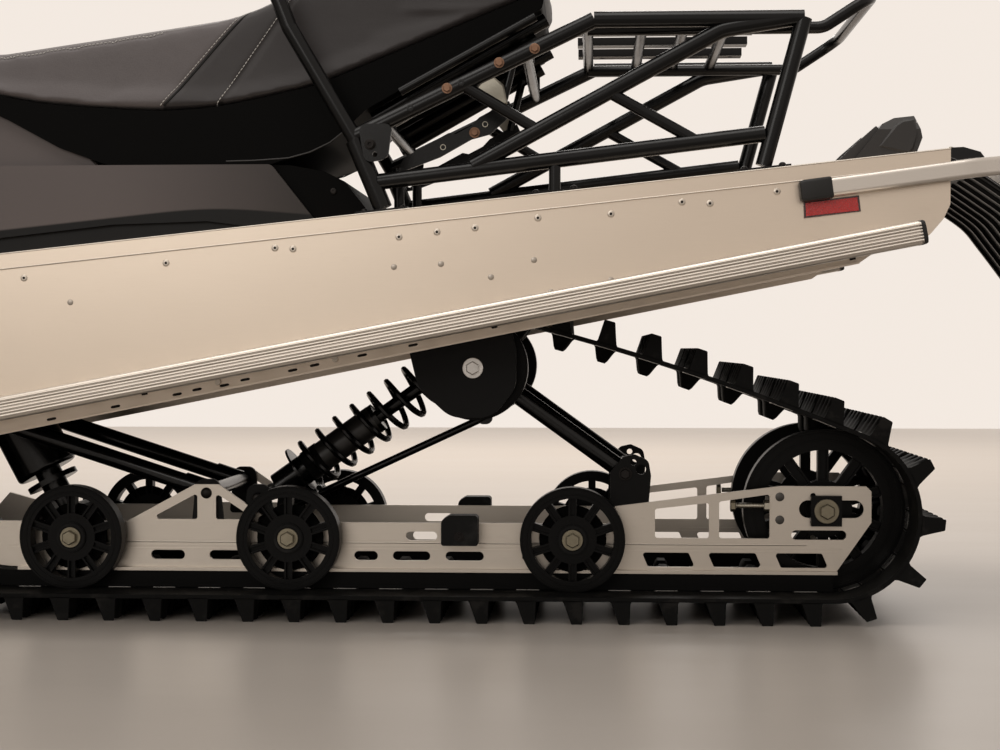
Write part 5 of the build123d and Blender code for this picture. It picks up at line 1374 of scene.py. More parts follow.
@dataclass
class TunnelTrim(Group):
    """Rivets, edge beads, slots, reflectors and the flap's bracket on the tunnel, with painted shade: black
    patches in the slots and the rivets' bores and darker metal on the dimples.
    """

    rivets: Pairs = (
        (1.2424, 0.5325), (1.0207, 0.5550), (0.8519, 0.5775), (0.8242, 0.5759), (0.6614, 0.5936),
        (0.6033, 0.6010), (0.5453, 0.6069), (0.4496, 0.6217), (0.3391, 0.6273), (0.2322, 0.6449),
        (0.1901, 0.6425), (0.0898, 0.6600), (1.4100, 0.5100),
    )
    dimples: Pairs = (
        (0.6691, 0.5480), (0.5972, 0.5524), (0.5210, 0.5324), (0.4556, 0.5581), (0.3390, 0.5275),
        (0.4298, 0.5095), (1.3400, 0.4700), (1.1700, 0.4950),
    )
    rivet: Fastener = Fastener(Head.RIVET, 0.0056, 0.0016)
    # Black plug in a rivet's bore, standing for painted shade
    core: Fastener = Fastener(Head.PLUG, 0.0056 * 0.36, 0.0007)
    dimple: Fastener = Fastener(Head.DOME, 0.0056 * 0.85, 0.0012)
    stud: Fastener = Fastener(Head.PLUG, 0.0050, 0.0042)
    flap_bolt: Fastener = Fastener(Head.DOME, 0.0060, washer=1.45)
    reflector: Pairs = (
        (0.0505, 0.6435), (-0.0320, 0.6535), (-0.0350, 0.6295), (0.0495, 0.6195),
    )
    strip_height: float = 0.025
    front_x: float = 1.690
    bracket: Pairs = (
        (-0.170, 0.7250), (-0.2017, 0.7440), (-0.2229, 0.7450), (-0.2497, 0.7371), (-0.2560, 0.7285),
        (-0.2350, 0.7275), (-0.2050, 0.7235), (-0.176, 0.7165),
    )
    slots: Pairs = (
        (1.004, 0.3535), (0.973, 0.3609), (0.9306, 0.3675), (0.8985, 0.3762), (0.825, 0.3905),
        (0.791, 0.3985), (0.718, 0.4135), (0.640, 0.4290), (1.100, 0.3345), (1.200, 0.3150),
    )
    slot_fall: float = -0.1985
    slot_plan: Pairs = (
        (-0.0075, 0.3), (-0.0065, 0.8), (-0.0045, 1.0), (0.0045, 1.0), (0.0065, 0.8), (0.0075, 0.3),
    )
    studs: Pairs = ((0.9403, 0.3725), (0.7596, 0.4078))

    def build(self) -> None:
        """Make the trim on both sides."""
        heads, cores, beads, lenses, frames = shapes(5)
        dents, slots = shapes(2)
        fall = Vector((1.0, 0.0, self.slot_fall)).normalized()
        half = self.machine.tunnel_half
        self.fasten(heads, self.rivets, half, self.rivet)
        # Painted shade: black plugs sit in the rivets' bores
        self.fasten(cores, self.rivets, half, self.core)
        # Dimples get darker metal as painted shade
        self.fasten(dents, self.dimples, half, self.dimple)
        self.fasten(heads, self.studs, half, self.stud)
        for side in SIDES:
            out = ACROSS * side
            face, proud = side * half, side * (half + self.machine.strip_proud)
            # Painted shade: black patches on the face stand for the shaded openings of the slots
            for middle in self.row(self.slots, face - side * 0.0004):
                stations = [(middle + fall * way, 0.0007, 0.0021 * share) for way, share in self.slot_plan]
                slots.bar(stations, out, fall.cross(ACROSS), 0.6)
            for drop in (0.0012, self.strip_height - 0.0006):
                reach = self.machine.tunnel_rear[0], self.front_x
                ends = [(x, self.machine.tunnel_top(x) - drop) for x in reach]
                beads.tube(self.row(ends, proud), 0.0011, 8)
            outline = self.row(self.reflector, face)
            frames.bevelled(outline, out * 0.0034, 0.0012)
            middle = sum(outline, Vector()) / 4
            inner = [middle + (point - middle) * 0.93 - UP * ((point - middle).z * 0.10) for point in outline]
            lenses.bevelled(inner, out * 0.0044, 0.0008)
        self.add(heads, "tunnel_rivets", "rivet_metal")
        self.add(cores, "rivet_bore_shades", "black_steel")
        self.add(dents, "tunnel_dimples", "dimple_shade_metal")
        self.add(slots, "tunnel_slot_shades", "black_steel")
        self.add(beads, "strip_beads", "extruded_edge")
        self.add(frames, "reflector_frames", "dark_red")
        self.add(lenses, "side_reflectors", "red_lens")
        self.flap_bracket()

    def flap_bracket(self) -> None:
        """Moulded bracket that clamps the snow flap to the tunnel's end."""
        shape, bolts = shapes(2)
        shape.prism(self.row(self.bracket, -0.105), ACROSS * 0.210)
        for side in SIDES:
            bolts.fasten(self.at(-0.2120, side * 0.06, 0.7445), UP, self.flap_bolt)
        self.add(shape, "flap_bracket", "cover_black")
        self.add(bolts, "flap_bolts", "plated_steel")


@dataclass
class EdgeCaps(Group):
    """Plastic end caps of the bumper and the running boards, and their bolts."""

    bumper_y: float = 0.289
    bumper_start: Pair = (0.030, 0.662)
    bumper_slope: float = -0.13235
    board_rear: Pair = (-0.098, 0.588)
    board_slope: float = -0.1898
    board_y: float = 0.412
    board_length: float = 1.684
    edge_face: float = 0.432
    rib_rises: tuple[float, ...] = (-0.0112, -0.0067, -0.0022, 0.0023, 0.0068, 0.0113)
    screw_places: tuple[float, ...] = (0.10, 0.62, 1.14, 1.50)
    screw: Fastener = Fastener(Head.SOCKET, 0.0045, 0.0028)
    # Distance along the tube, half width and half height
    bumper_cap: tuple[Triple, ...] = (
        (-0.0205, 0.0100, 0.0150), (-0.0185, 0.0110, 0.0162), (0.0200, 0.0112, 0.0164),
        (0.0255, 0.0104, 0.0152), (0.0275, 0.0084, 0.0125),
    )
    board_cap: tuple[Triple, ...] = (
        (0.0030, 0.0203, 0.0173), (-0.0035, 0.0203, 0.0173), (-0.0062, 0.0190, 0.0160),
        (-0.0072, 0.0160, 0.0130),
    )

    def build(self) -> None:
        """Make the caps on both sides."""
        caps, bolts, ribs = shapes(3)
        for side in SIDES:
            bumper = (self.bumper_start, self.bumper_y, self.bumper_slope, self.bumper_cap)
            board = (self.board_rear, self.board_y, self.board_slope, self.board_cap)
            for (x, z), y, slope, plan in (bumper, board):
                start = self.at(x, side * y, z)
                way = Vector((1.0, 0.0, slope)).normalized()
                up = way.cross(ACROSS)
                stations = [(start + way * ahead, width, height) for ahead, width, height in plan]
                caps.bar(stations, ACROSS, up, 0.45)
            for rise in self.rib_rises:
                seat = self.at(x, side * (self.edge_face - 0.0009), z) + up * rise
                ribs.tube([seat, seat + way * self.board_length], 0.0020, 8)
            for ahead in self.screw_places:
                bolts.fasten(start + way * ahead - up * 0.017, -up, self.screw)
        self.add(ribs, "board_ribs", "extruded_edge")
        self.add(caps, "end_caps", "cap_plastic")
        self.add(bolts, "board_screws", "black_steel")


@dataclass
class RackTrim(Group):
    """Bolts of the rack's feet and gussets, the seat's lower rails and their brackets."""

    feet: tuple[float, ...] = (0.690, 0.425, 0.107)
    foot_thickness: float = 0.0043
    gusset_bolt: Pair = (0.708, 0.737)
    gusset_face: float = 0.2545
    rail_y: float = 0.150
    lower: Pairs = ((0.7060, 0.7730), (0.4550, 0.9140))
    tube_face: float = 0.2516
    tube_bolts: Pairs = ((0.590, 0.8225), (0.510, 0.8610), (0.4555, 0.8820))
    tube_holes: Pairs = ((0.6466, 0.7930), (0.5684, 0.8310))
    clamp: Pairs = (
        (0.552, 0.838), (0.530, 0.860), (0.508, 0.842), (0.502, 0.812), (0.520, 0.800), (0.534, 0.818),
    )
    upper: Pairs = ((0.6676, 0.8252), (0.4560, 0.9400))
    upper_y: float = 0.203
    channel: Pairs = (
        (0.682, 0.702), (0.668, 0.729), (0.596, 0.768), (0.585, 0.766), (0.560, 0.779), (0.548, 0.792),
        (0.500, 0.818), (0.492, 0.800), (0.530, 0.765), (0.560, 0.757), (0.610, 0.729),
    )
    channel_holes: Pairs = ((0.6054, 0.7451), (0.5382, 0.7811))
    channel_bolt: Pair = (0.5550, 0.7680)
    channel_foot: float = 0.676
    strut_x: float = 0.490
    foot_bolt: Fastener = Fastener(Head.DOME, 0.0058, washer=1.3)
    gusset_head: Fastener = Fastener(Head.SOCKET, 0.0065, washer=1.35)
    tube_bolt: Fastener = Fastener(Head.HEX, 0.0060, washer=1.35)
    tube_hole: Fastener = Fastener(Head.SOCKET, 0.0052, 0.0016)
    channel_head: Fastener = Fastener(Head.HEX, 0.0062, washer=1.4)

    def build(self) -> None:
        """Make the rack's small pieces."""
        black, bronze, tubes, pale, slugs = shapes(5)
        fall = Vector((self.machine.tunnel_slope, 0.0, 1.0)).normalized()
        self.fasten(black, (self.gusset_bolt,), self.gusset_face, self.gusset_head)
        self.fasten(bronze, self.tube_bolts, self.tube_face, self.tube_bolt)
        self.fasten(slugs, self.tube_holes, self.tube_face, self.tube_hole)
        self.fasten(bronze, (self.channel_bolt,), self.rail_y - 0.006, self.channel_head)
        for side in SIDES:
            for foot in self.feet:
                for shift in (-0.029, 0.029):
                    x = foot + shift
                    top = self.machine.tunnel_top(x) + self.foot_thickness
                    black.fasten(self.at(x, side * self.machine.rack_y, top), fall, self.foot_bolt)
            tubes.tube(self.row(self.lower, side * self.rail_y), 0.0095, 16)
            tubes.tube(self.row(self.upper, side * self.upper_y), 0.0072, 14)
            self.channel_bar(side, tubes, pale)
        self.add(black, "rack_bolts_black", "black_steel")
        self.add(bronze, "seat_rail_bolts", "bronze_steel")
        self.add(tubes, "seat_lower_rails", "frame_paint")
        self.add(pale, "seat_clamps", "plated_steel")
        self.add(slugs, "rail_sockets", "cover_black")

    def channel_bar(self, side: int, tubes: Shape, pale: Shape) -> None:
        """Bored channel under the rails, its foot on the tunnel and its clamps.

        Args:
            side: 1 on the left, -1 on the right.
            tubes: mesh that takes the channel.
            pale: mesh that takes the clamps.
        """
        out = ACROSS * side
        y = side * (self.rail_y - 0.010)
        tubes.prism(self.row(self.channel, y), out * 0.004)
        foot = self.machine.tunnel_top(self.channel_foot)
        tubes.tube([self.at(self.channel_foot, y, z) for z in (foot + 0.001, 0.712)], 0.0085, 14)
        flange = [(0.0, 0.024), (0.003, 0.024), (0.004, 0.022)]
        tubes.lathe(self.at(self.channel_foot, y, foot + 0.0008), UP, flange, 20)
        (front, low), (rear, high) = self.lower
        strut = high + (low - high) * (self.strut_x - rear) / (front - rear)
        tubes.tube([self.at(0.512, y, 0.806), self.at(self.strut_x, y, strut)], 0.0065, 12)
        pale.bevelled(self.row(self.clamp, y + side * 0.010), out * 0.006, 0.003)
        for seat in self.row(self.channel_holes, y + side * 0.004):
            pale.collar(seat, out, 0.0034, 0.0048, 0.0006, 16)


@dataclass
class SoftPad:
    """Foam pad under vinyl, swelled by a cloth simulation from a drawn-in copy of its solid."""

    node: str
    name: str
    finish: str
    voxel: float
    draw_in: float = 0.007
    cap: float = 0.010
    pressure: float = 4.0
    frames: int = 20
    rounding: int = 24
    hold: float = 0.55

    def make(self, finishes: Finishes) -> bpy.types.Object:
        """Make the swelled pad.

        Args:
            finishes: materials.

        Returns:
            The pad, which stands for its node.
        """
        source = placed(self.name + "_start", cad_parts[self.node].data.copy())
        gather = bmesh.new()
        gather.from_mesh(source.data)
        bmesh.ops.remove_doubles(gather, verts=gather.verts, dist=1e-5)
        gather.to_mesh(source.data)
        gather.free()
        remesh = source.modifiers.new("remesh", "REMESH")
        remesh.mode = "VOXEL"
        remesh.voxel_size = self.voxel
        data = self.baked(source, self.name)
        bpy.data.objects.remove(source)
        self.round_off(data, self.draw_in)
        piece = placed(self.name, data)
        self.swell(piece)
        finer = piece.modifiers.new("finer", "SUBSURF")
        finer.levels = finer.render_levels = 1
        data = self.baked(piece, self.name)
        piece.modifiers.clear()
        piece.data = data
        data.materials.clear()
        data.materials.append(finishes[self.finish])
        for polygon in data.polygons:
            polygon.use_smooth = True
        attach(piece, Body.CHASSIS.value)
        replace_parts(piece, self.node)
        LOG.info("%s: %d faces", self.name, len(data.polygons))
        return piece

    def baked(self, piece: bpy.types.Object, name: str) -> bpy.types.Mesh:
        """Mesh of an object with its modifiers applied.

        Args:
            piece: object to read.
            name: name of the new mesh.

        Returns:
            The mesh.
        """
        graph = bpy.context.evaluated_depsgraph_get()
        data = bpy.data.meshes.new_from_object(piece.evaluated_get(graph))
        data.name = name
        return data

    def round_off(self, data: bpy.types.Mesh, draw_in: float) -> None:
        """Draw the sides in and round the edges, with the underside kept on its seat.

        Args:
            data: mesh to change.
            draw_in: how far the sides are drawn in.
        """
        work = bmesh.new()
        work.from_mesh(data)
        work.normal_update()
        moves = []
        for vert in work.verts:
            down = min(1.0, max(0.0, -vert.normal.z * 1.6))
            moves.append(vert.normal * (-draw_in * (1.0 - down)))
        for vert, move in zip(work.verts, moves):
            vert.co += move
        for _ in range(self.rounding):
            bmesh.ops.smooth_vert(work, verts=work.verts, factor=0.5, use_axis_x=True, use_axis_y=True,
                                  use_axis_z=True)
        work.to_mesh(data)
        work.free()

    def swell(self, piece: bpy.types.Object) -> None:
        """Inflate the pad by cloth pressure and apply the result, each point's way capped.

        Args:
            piece: pad to swell.
        """
        held = piece.vertex_groups.new(name="held")
        piece.data.update()
        low = [vert.index for vert in piece.data.vertices if vert.normal.z < -self.hold]
        held.add(low, 1.0, "REPLACE")
        cloth = piece.modifiers.new("swell", "CLOTH")
        values = {"quality": 5, "mass": 0.3, "tension_stiffness": 20.0, "compression_stiffness": 20.0,
                  "bending_stiffness": 0.6, "use_pressure": True, "uniform_pressure_force": self.pressure}
        for key, value in values.items():
            setattr(cloth.settings, key, value)
        cloth.settings.effector_weights.gravity = 0.0
        cloth.settings.vertex_group_mass = "held"
        cloth.collision_settings.use_self_collision = False
        cloth.point_cache.frame_start = 1
        cloth.point_cache.frame_end = self.frames
        for step in range(1, self.frames + 1):
            bpy.context.scene.frame_set(step)
        swelled = self.baked(piece, self.name + "_swelled")
        piece.modifiers.clear()
        bpy.context.scene.frame_set(1)
        for vert, moved in zip(piece.data.vertices, swelled.vertices):
            way = moved.co - vert.co
            if way.length > self.cap:
                way *= self.cap / way.length
            vert.co += way
        bpy.data.meshes.remove(swelled)


@dataclass
class Needlework:
    """Seams, piping and stitches laid on a pad's finished surface."""

    group: Group
    piece: bpy.types.Object
    pitch: float = 0.0064
    length: float = 0.0035
    thread: float = 0.00070
    points: int = 260

    def __post_init__(self) -> None:
        """Find the pad's surface."""
        self.tree = BVHTree.FromObject(self.piece, bpy.context.evaluated_depsgraph_get())
        self.stitches = Shape()
        self.piping = Shape()

    def hit(self, origin: Vector, way: Vector) -> Contact | None:
        """Where a ray meets the pad.

        Args:
            origin: start of the ray.
            way: its direction.

        Returns:
            Point and normal, or None.
        """
        point, normal, _, _ = self.tree.ray_cast(origin, way.normalized())
        return None if point is None else (point, normal)

    def around(self, origin: Vector, lean: Vector, below: float) -> list[Contact]:
        """Line where a plane through an inner point cuts the pad.

        Args:
            origin: point inside the pad.
            lean: upward direction in the plane, at right angles to the machine's width.
            below: degrees by which the line's ends lie below the inner point.

        Returns:
            Points and normals.
        """
        line = []
        for index in range(self.points):
            angle = math.radians((180.0 + 2 * below) * index / (self.points - 1) - below)
            found = self.hit(origin, ACROSS * math.cos(angle) + lean * math.sin(angle))
            if found:
                line.append(found)
        return line

    def press(self, line: Sequence[Contact], width: float, depth: float) -> None:
        """Sink the pad along a line.

        Args:
            line: points and normals.
            width: width of the valley.
            depth: its depth.
        """
        near = KDTree(len(line))
        for index, (point, _) in enumerate(line):
            near.insert(point, index)
        near.balance()
        for vert in self.piece.data.vertices:
            _, index, gap = near.find(vert.co)
            if gap < width * 3:
                vert.co -= line[index][1] * (depth * math.exp(-(gap / width) ** 2))

    def sew(self, line: Sequence[Contact], lift: float = 0.0002) -> None:
        """Lay a row of stitches along a line.

        Args:
            line: points and normals.
            lift: how far the thread lies above the vinyl.
        """
        walked = 0.0
        start = 0.0
        for (point, normal), (ahead, _) in zip(line, line[1:]):
            run = ahead - point
            while start < walked + run.length:
                middle = point + run.normalized() * (start - walked) + normal * lift
                half = run.normalized() * self.length / 2
                dip = normal * self.thread
                points = [middle - half - dip, middle - half * 0.8, middle + half * 0.8, middle + half - dip]
                self.stitches.tube(points, self.thread, 6)
                start += self.pitch
            walked += run.length

    def cord(self, line: Sequence[Contact], radius: float, sink: float) -> None:
        """Lay covered piping along a line.

        Args:
            line: points and normals.
            radius: its radius.
            sink: how far its centre lies under the surface.
        """
        self.piping.tube([point - normal * sink for point, normal in line], radius, 8)

    def finish(self, name: str) -> None:
        """Make the stitches and piping into pieces.

        Args:
            name: start of the pieces' names.
        """
        self.group.add(self.stitches, name + "_stitches", "light_thread")
        if self.piping.mesh.verts:
            self.group.add(self.piping, name + "_piping", "dark_vinyl")


@dataclass
class Seat(Group):
    """Seat cushion with its two slanted seams and the seam along its shoulder."""

    seams: tuple[Pairs, ...] = (((0.957, 0.906), (1.048, 0.803)), ((0.886, 0.905), (0.953, 0.810)))
    middle_z: float = 0.868
    beside: float = 0.0062
    seam_valley: Pair = (0.0042, 0.0022)
    shoulder_valley: Pair = (0.0040, 0.0018)
    shoulder: Pair = (1.500, 1.045)
    shoulder_drop: float = 0.006
    shoulder_step: float = 0.002
    shoulder_turn: float = 0.62

    def build(self) -> None:
        """Make the cushion and its needlework."""
        pad = SoftPad("seat_cushion", "seat_pad", "seat_vinyl", voxel=0.0085).make(self.finishes)
        work = Needlework(self, pad)
        lines = []
        for (x0, z0), (x1, z1) in self.seams:
            lean = Vector((x0 - x1, 0.0, z0 - z1)).normalized()
            share = (self.middle_z - z1) / (z0 - z1)
            x = x1 + (x0 - x1) * share
            seam = work.around(self.at(x, 0.0, self.middle_z), lean, 23.0)
            beside = work.around(self.at(x + self.beside, 0.0, self.middle_z), lean, 22.0)
            lines.append((seam, beside))
        shoulders = [self.shoulder_line(work, side) for side in SIDES]
        for seam, _ in lines:
            work.press(seam, *self.seam_valley)
        for line in shoulders:
            work.press(line, *self.shoulder_valley)
        for _, beside in lines:
            work.sew(beside)
        work.cord(lines[0][0], 0.0022, 0.0020)
        for line in shoulders:
            work.sew(line, 0.0001)
        work.finish("seat")

    def shoulder_line(self, work: Needlework, side: int) -> list[Contact]:
        """Seam just below the pad's upper edge.

        Args:
            work: the pad's needlework.
            side: 1 on the left, -1 on the right.

        Returns:
            Points and normals.
        """
        line = []
        first, last = self.shoulder
        for index in range(160):
            x = first + (last - first) * index / 159
            top = work.hit(self.at(x, 0.0, 1.4), -UP)
            if top is None:
                continue
            for step in range(30):
                height = top[0].z - self.shoulder_drop - self.shoulder_step * step
                found = work.hit(Vector((top[0].x, side * 0.5, height)), -ACROSS * side)
                if found and found[1].y * side > self.shoulder_turn:
                    line.append(found)
                    break
        return line


@dataclass
class UnderSeat(Group):
    """Inner panels between the seat and the side cover, and the box behind the cover."""

    inner_half: float = 0.183
    thickness: float = 0.020
    inner: Pairs = (
        (1.150, 0.7125), (1.598, 0.7125), (1.598, 0.862), (1.535, 0.846), (1.420, 0.826), (1.318, 0.802),
        (1.264, 0.776), (1.215, 0.752), (1.168, 0.732),
    )
    box_half: float = 0.187
    box: Pairs = (
        (0.722, 0.6315), (0.7215, 0.642), (0.7571, 0.687), (0.790, 0.7035), (0.8436, 0.7132), (0.905, 0.7145),
        (0.905, 0.6125),
    )
    box_screws: Pairs = ((0.775, 0.672), (0.880, 0.690), (0.885, 0.640))
    screw: Fastener = Fastener(Head.SOCKET, 0.0048, 0.0024)
    edge_y: float = 0.1915
    edge: Pairs = (
        (0.945, 0.7195), (0.900, 0.7205), (0.8464, 0.7240), (0.812, 0.7330), (0.780, 0.7480), (0.752, 0.7700),
    )

    def build(self) -> None:
        """Make the panels, the box and the base's lower bead, coloured lighter than the base as a painted
        highlight.
        """
        panel, box, beads, screws = shapes(4)
        for side in SIDES:
            out = ACROSS * side
            low = side * (self.inner_half - self.thickness)
            panel.bevelled(self.row(self.inner, low), out * self.thickness, 0.006)
            # Painted highlight: the bead along the base's lower edge is lighter than the black base
            beads.tube(self.row(self.edge, side * self.edge_y), 0.0012, 8)
        self.fasten(screws, self.box_screws, self.box_half, self.screw)
        box.prism(self.row(self.box, -self.box_half), ACROSS * (2 * self.box_half))
        self.add(panel, "inner_panels", "cover_plastic")
        self.add(box, "under_seat_box", "base_plastic")
        self.add(beads, "seat_base_highlight_beads", "lamp_plastic")
        self.add(screws, "box_screws", "black_steel")


@dataclass
class Backrest(Group):
    """Backrest pad with a sewn panel in its front face."""

    inset: float = 0.034

    def build(self) -> None:
        """Make the pad and its seam."""
        soft = SoftPad("backrest", "backrest_pad", "seat_vinyl", voxel=0.006, rounding=14, hold=2.0)
        pad = soft.make(self.finishes)
        work = Needlework(self, pad)
        low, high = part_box("backrest")
        half = high.y - self.inset
        base, top = low.z + self.inset, high.z - self.inset
        corners = [(half, base), (half, top), (-half, top), (-half, base), (half, base)]
        line = []
        for (y0, z0), (y1, z1) in zip(corners, corners[1:]):
            for step in range(60):
                share = step / 60
                start = Vector((high.x + 0.2, y0 + (y1 - y0) * share, z0 + (z1 - z0) * share))
                found = work.hit(start, -ALONG)
                if found:
                    line.append(found)
        line.append(line[0])
        work.press(line, 0.0042, 0.0030)
        work.sew(line, -0.0006)
        work.finish("backrest")


@dataclass
class Lamps(Group):
    """Tail lamp's lens and the light units behind the headlamps' glass."""

    lens_x: float = -0.1515
    lens_half: float = 0.071
    lens_z: Pair = (0.7645, 0.7880)
    ribs: int = 9
    units: tuple[Triple, ...] = ((0.072, -0.010, 0.030), (0.132, -0.006, 0.024))
    cheek: Pairs = (
        (-0.092, 0.748), (-0.118, 0.783), (-0.130, 0.7905), (-0.148, 0.7925), (-0.1535, 0.766),
        (-0.146, 0.742), (-0.138, 0.736),
    )
    channel: Pairs = ((-0.028, 0.7140), (-0.060, 0.7465), (-0.094, 0.7760))
    channel_y: Pair = (0.070, 0.084)
    lamp_ahead: float = 0.835
    hood_edge: Pair = (0.675, 0.8004)
    slope: float = 200.0 / 270.0
    bowl: Pairs = ((0.0, 0.62), (0.0012, 0.62), (0.0030, 0.45), (0.0040, 0.2))
    lean: Triple = (0.75, 0.0, 0.66)

    def build(self) -> None:
        """Make the lenses and light units."""
        lens, bezel = shapes(2)
        low, high = self.lens_z
        half = self.lens_half
        foot, top = self.lens_x, self.lens_x + 0.001
        outline = [self.at(foot, -half, low), self.at(foot, half, low), self.at(top, half, high),
                   self.at(top, -half, high)]
        lens.bevelled(outline, ALONG * -0.0055, 0.0022)
        for rib in range(self.ribs):
            y = half * 0.9 * (2 * rib / (self.ribs - 1) - 1)
            ends = [(self.at(foot - 0.0052, y, z), 0.0012, 0.0008) for z in (low + 0.003, high - 0.003)]
            lens.bar(ends, ACROSS, ALONG, 0.5)
        self.housing()
        self.add(lens, "tail_lens", "red_lens")
        normal = Vector((self.slope, 0.0, 1.0)).normalized()
        rise = normal.cross(ACROSS) * -1
        lamp_z = self.hood_edge[1] - self.slope * (self.lamp_ahead - self.hood_edge[0])
        middle = self.at(self.machine.hood_rear + self.lamp_ahead, 0.0, lamp_z)
        cores = Shape()
        for side in SIDES:
            for y, up, radius in self.units:
                seat = middle + ACROSS * (side * y) + rise * up + normal * 0.0009
                cores.lathe(seat, normal, [(height, radius * share) for height, share in self.bowl], 28)
                bezel.collar(seat, normal, radius * 0.64, radius, 0.0030, 36)
        self.add(cores, "headlamp_units", "lamp_core")
        self.add(bezel, "headlamp_bezels", "bright_steel")

    def housing(self) -> None:
        """Raised cheeks and the channels that carry the tail lamp."""
        shape = Shape()
        for side in SIDES:
            out = ACROSS * side
            shape.bevelled(self.row(self.cheek, side * 0.0898), out * 0.0030, 0.0035)
            for y in self.channel_y:
                wall = [(self.at(x, side * y, z), 0.0022, 0.0085) for x, z in self.channel]
                shape.bar(wall, out, Vector(self.lean), 0.3)
            web = [(self.at(x + 0.004, side * 0.077, z + 0.0035), 0.0090, 0.0016) for x, z in self.channel]
            shape.bar(web, out, Vector(self.lean), 0.3)
        self.add(shape, "lamp_housing", "lamp_plastic")


@dataclass
class Controls(Group):
    """Hand grips, switch blocks and the instrument on the bar."""

    post_top: Pair = (1.560, 1.075)
    bar_end: Triple = (1.500, 0.385, 1.120)
    bar_knee: Triple = (1.545, 0.210, 1.130)
    grip_length: float = 0.118
    grip_radius: float = 0.0168
    grip_rings: int = 26
    block_reach: float = 0.147
    case_plan: Pairs = ((-0.016, 0.8), (-0.013, 1.0), (0.013, 1.0), (0.016, 0.8))
    button_plan: Pairs = ((0.017, 1.0), (0.0245, 1.0), (0.0258, 0.8))
    cover_plan: Pairs = ((-0.030, 0.8), (-0.024, 0.95), (0.014, 1.0), (0.020, 0.93), (0.023, 0.8))

    def build(self) -> None:
        """Make the controls."""
        grips, blocks = shapes(2)
        for side in SIDES:
            end, knee = (self.at(x, side * y, z) for x, y, z in (self.bar_end, self.bar_knee))
            way = (knee - end).normalized()
            profile = [(-0.0045, self.grip_radius * 0.7), (-0.0035, self.grip_radius + 0.0012)]
            for ring in range(self.grip_rings):
                height = 0.002 + (self.grip_length - 0.010) * ring / self.grip_rings
                profile += [(height, self.grip_radius), (height + 0.0022, self.grip_radius + 0.0005)]
            collar = self.grip_radius + 0.0030
            profile += [(self.grip_length - 0.006, collar), (self.grip_length, collar),
                        (self.grip_length + 0.0005, self.grip_radius * 0.8)]
            grips.lathe(end, way, profile, 28)
            middle = end + way * self.block_reach
            up = way.cross(ALONG).normalized() * side
            case = [(middle + way * shift, 0.017 * scale, 0.019 * scale) for shift, scale in self.case_plan]
            blocks.bar(case, ALONG, up, 0.5)
            middle += way * 0.002
            button = [(middle + up * rise, 0.0075 * size, 0.0055 * size) for rise, size in self.button_plan]
            blocks.bar(button, ALONG, way, 0.4)
        self.add(grips, "hand_grips", "grip_rubber", Body.STEERING, 50.0)
        self.add(blocks, "switch_blocks", "body_black", Body.STEERING)
        self.cover()

    def cover(self) -> None:
        """Padded cover over the bar's middle, with a blank dark screen."""
        cover, screen = shapes(2)
        middle = self.at(self.post_top[0] + 0.004, 0.0, self.post_top[1] + 0.012)
        lean = Vector((-0.35, 0.0, 0.94)).normalized()
        ahead = ACROSS.cross(lean)
        stations = [(middle + lean * rise, 0.075 * scale, 0.036 * scale) for rise, scale in self.cover_plan]
        cover.bar(stations, ACROSS, ahead, 0.55)
        self.add(cover, "bar_cover", "body_black", Body.STEERING)
        screen.bar([(middle + lean * rise, 0.052, 0.022) for rise in (0.0225, 0.0245)], ACROSS, ahead, 0.3)
        self.add(screen, "bar_screen", "dark_glass", Body.STEERING)


@dataclass
class BodyTrim(Group):
    """Louvres, latches and screws of the side panels."""

    panel_half: float = 0.352
    louvres: int = 5
    louvre_x: Pair = (0.150, 0.330)
    louvre_z: Pair = (0.480, 0.585)
    screws: Pairs = ((0.060, 0.455), (0.060, 0.600), (0.400, 0.455), (0.520, 0.455))
    screw: Fastener = Fastener(Head.SOCKET, 0.0060, 0.0030)
    # Height and distance from the middle
    latches: Pairs = ((0.500, 0.352), (0.700, 0.329))
    latch_plan: Pairs = ((0.045, 0.7), (0.050, 1.0), (0.078, 1.0), (0.083, 0.7))

    def build(self) -> None:
        """Make the trim of both panels."""
        for side, body in ((1, Body.LEFT_PANEL), (-1, Body.RIGHT_PANEL)):
            blades, latch = shapes(2)
            out = ACROSS * side
            low, high = self.louvre_z
            rear, front = self.louvre_x
            plan = ((rear, 0.5), (rear + 0.01, 1.0), (front - 0.01, 1.0), (front, 0.5))
            for index in range(self.louvres):
                z = low + (high - low) * index / (self.louvres - 1)
                start = self.machine.hood_rear - 0.020 * index
                y = side * (self.panel_half + 0.001)
                blades.bar([(self.at(start + x, y, z), 0.0035 * scale, 0.0055 * scale) for x, scale in plan],
                           out, UP, 0.6)
            for z, y in self.latches:
                latch.bar([(self.at(self.machine.hood_rear + x, side * y, z), 0.004 * scale, 0.011 * scale)
                           for x, scale in self.latch_plan], out, UP, 0.5)
            for x, z in self.screws:
                spot = self.at(self.machine.hood_rear + x, side * (self.panel_half - 0.0004), z)
                latch.fasten(spot, out, self.screw)
            self.add(blades, body.value + "_louvres", "body_black", body)
            self.add(latch, body.value + "_latches", "block_rubber", body)


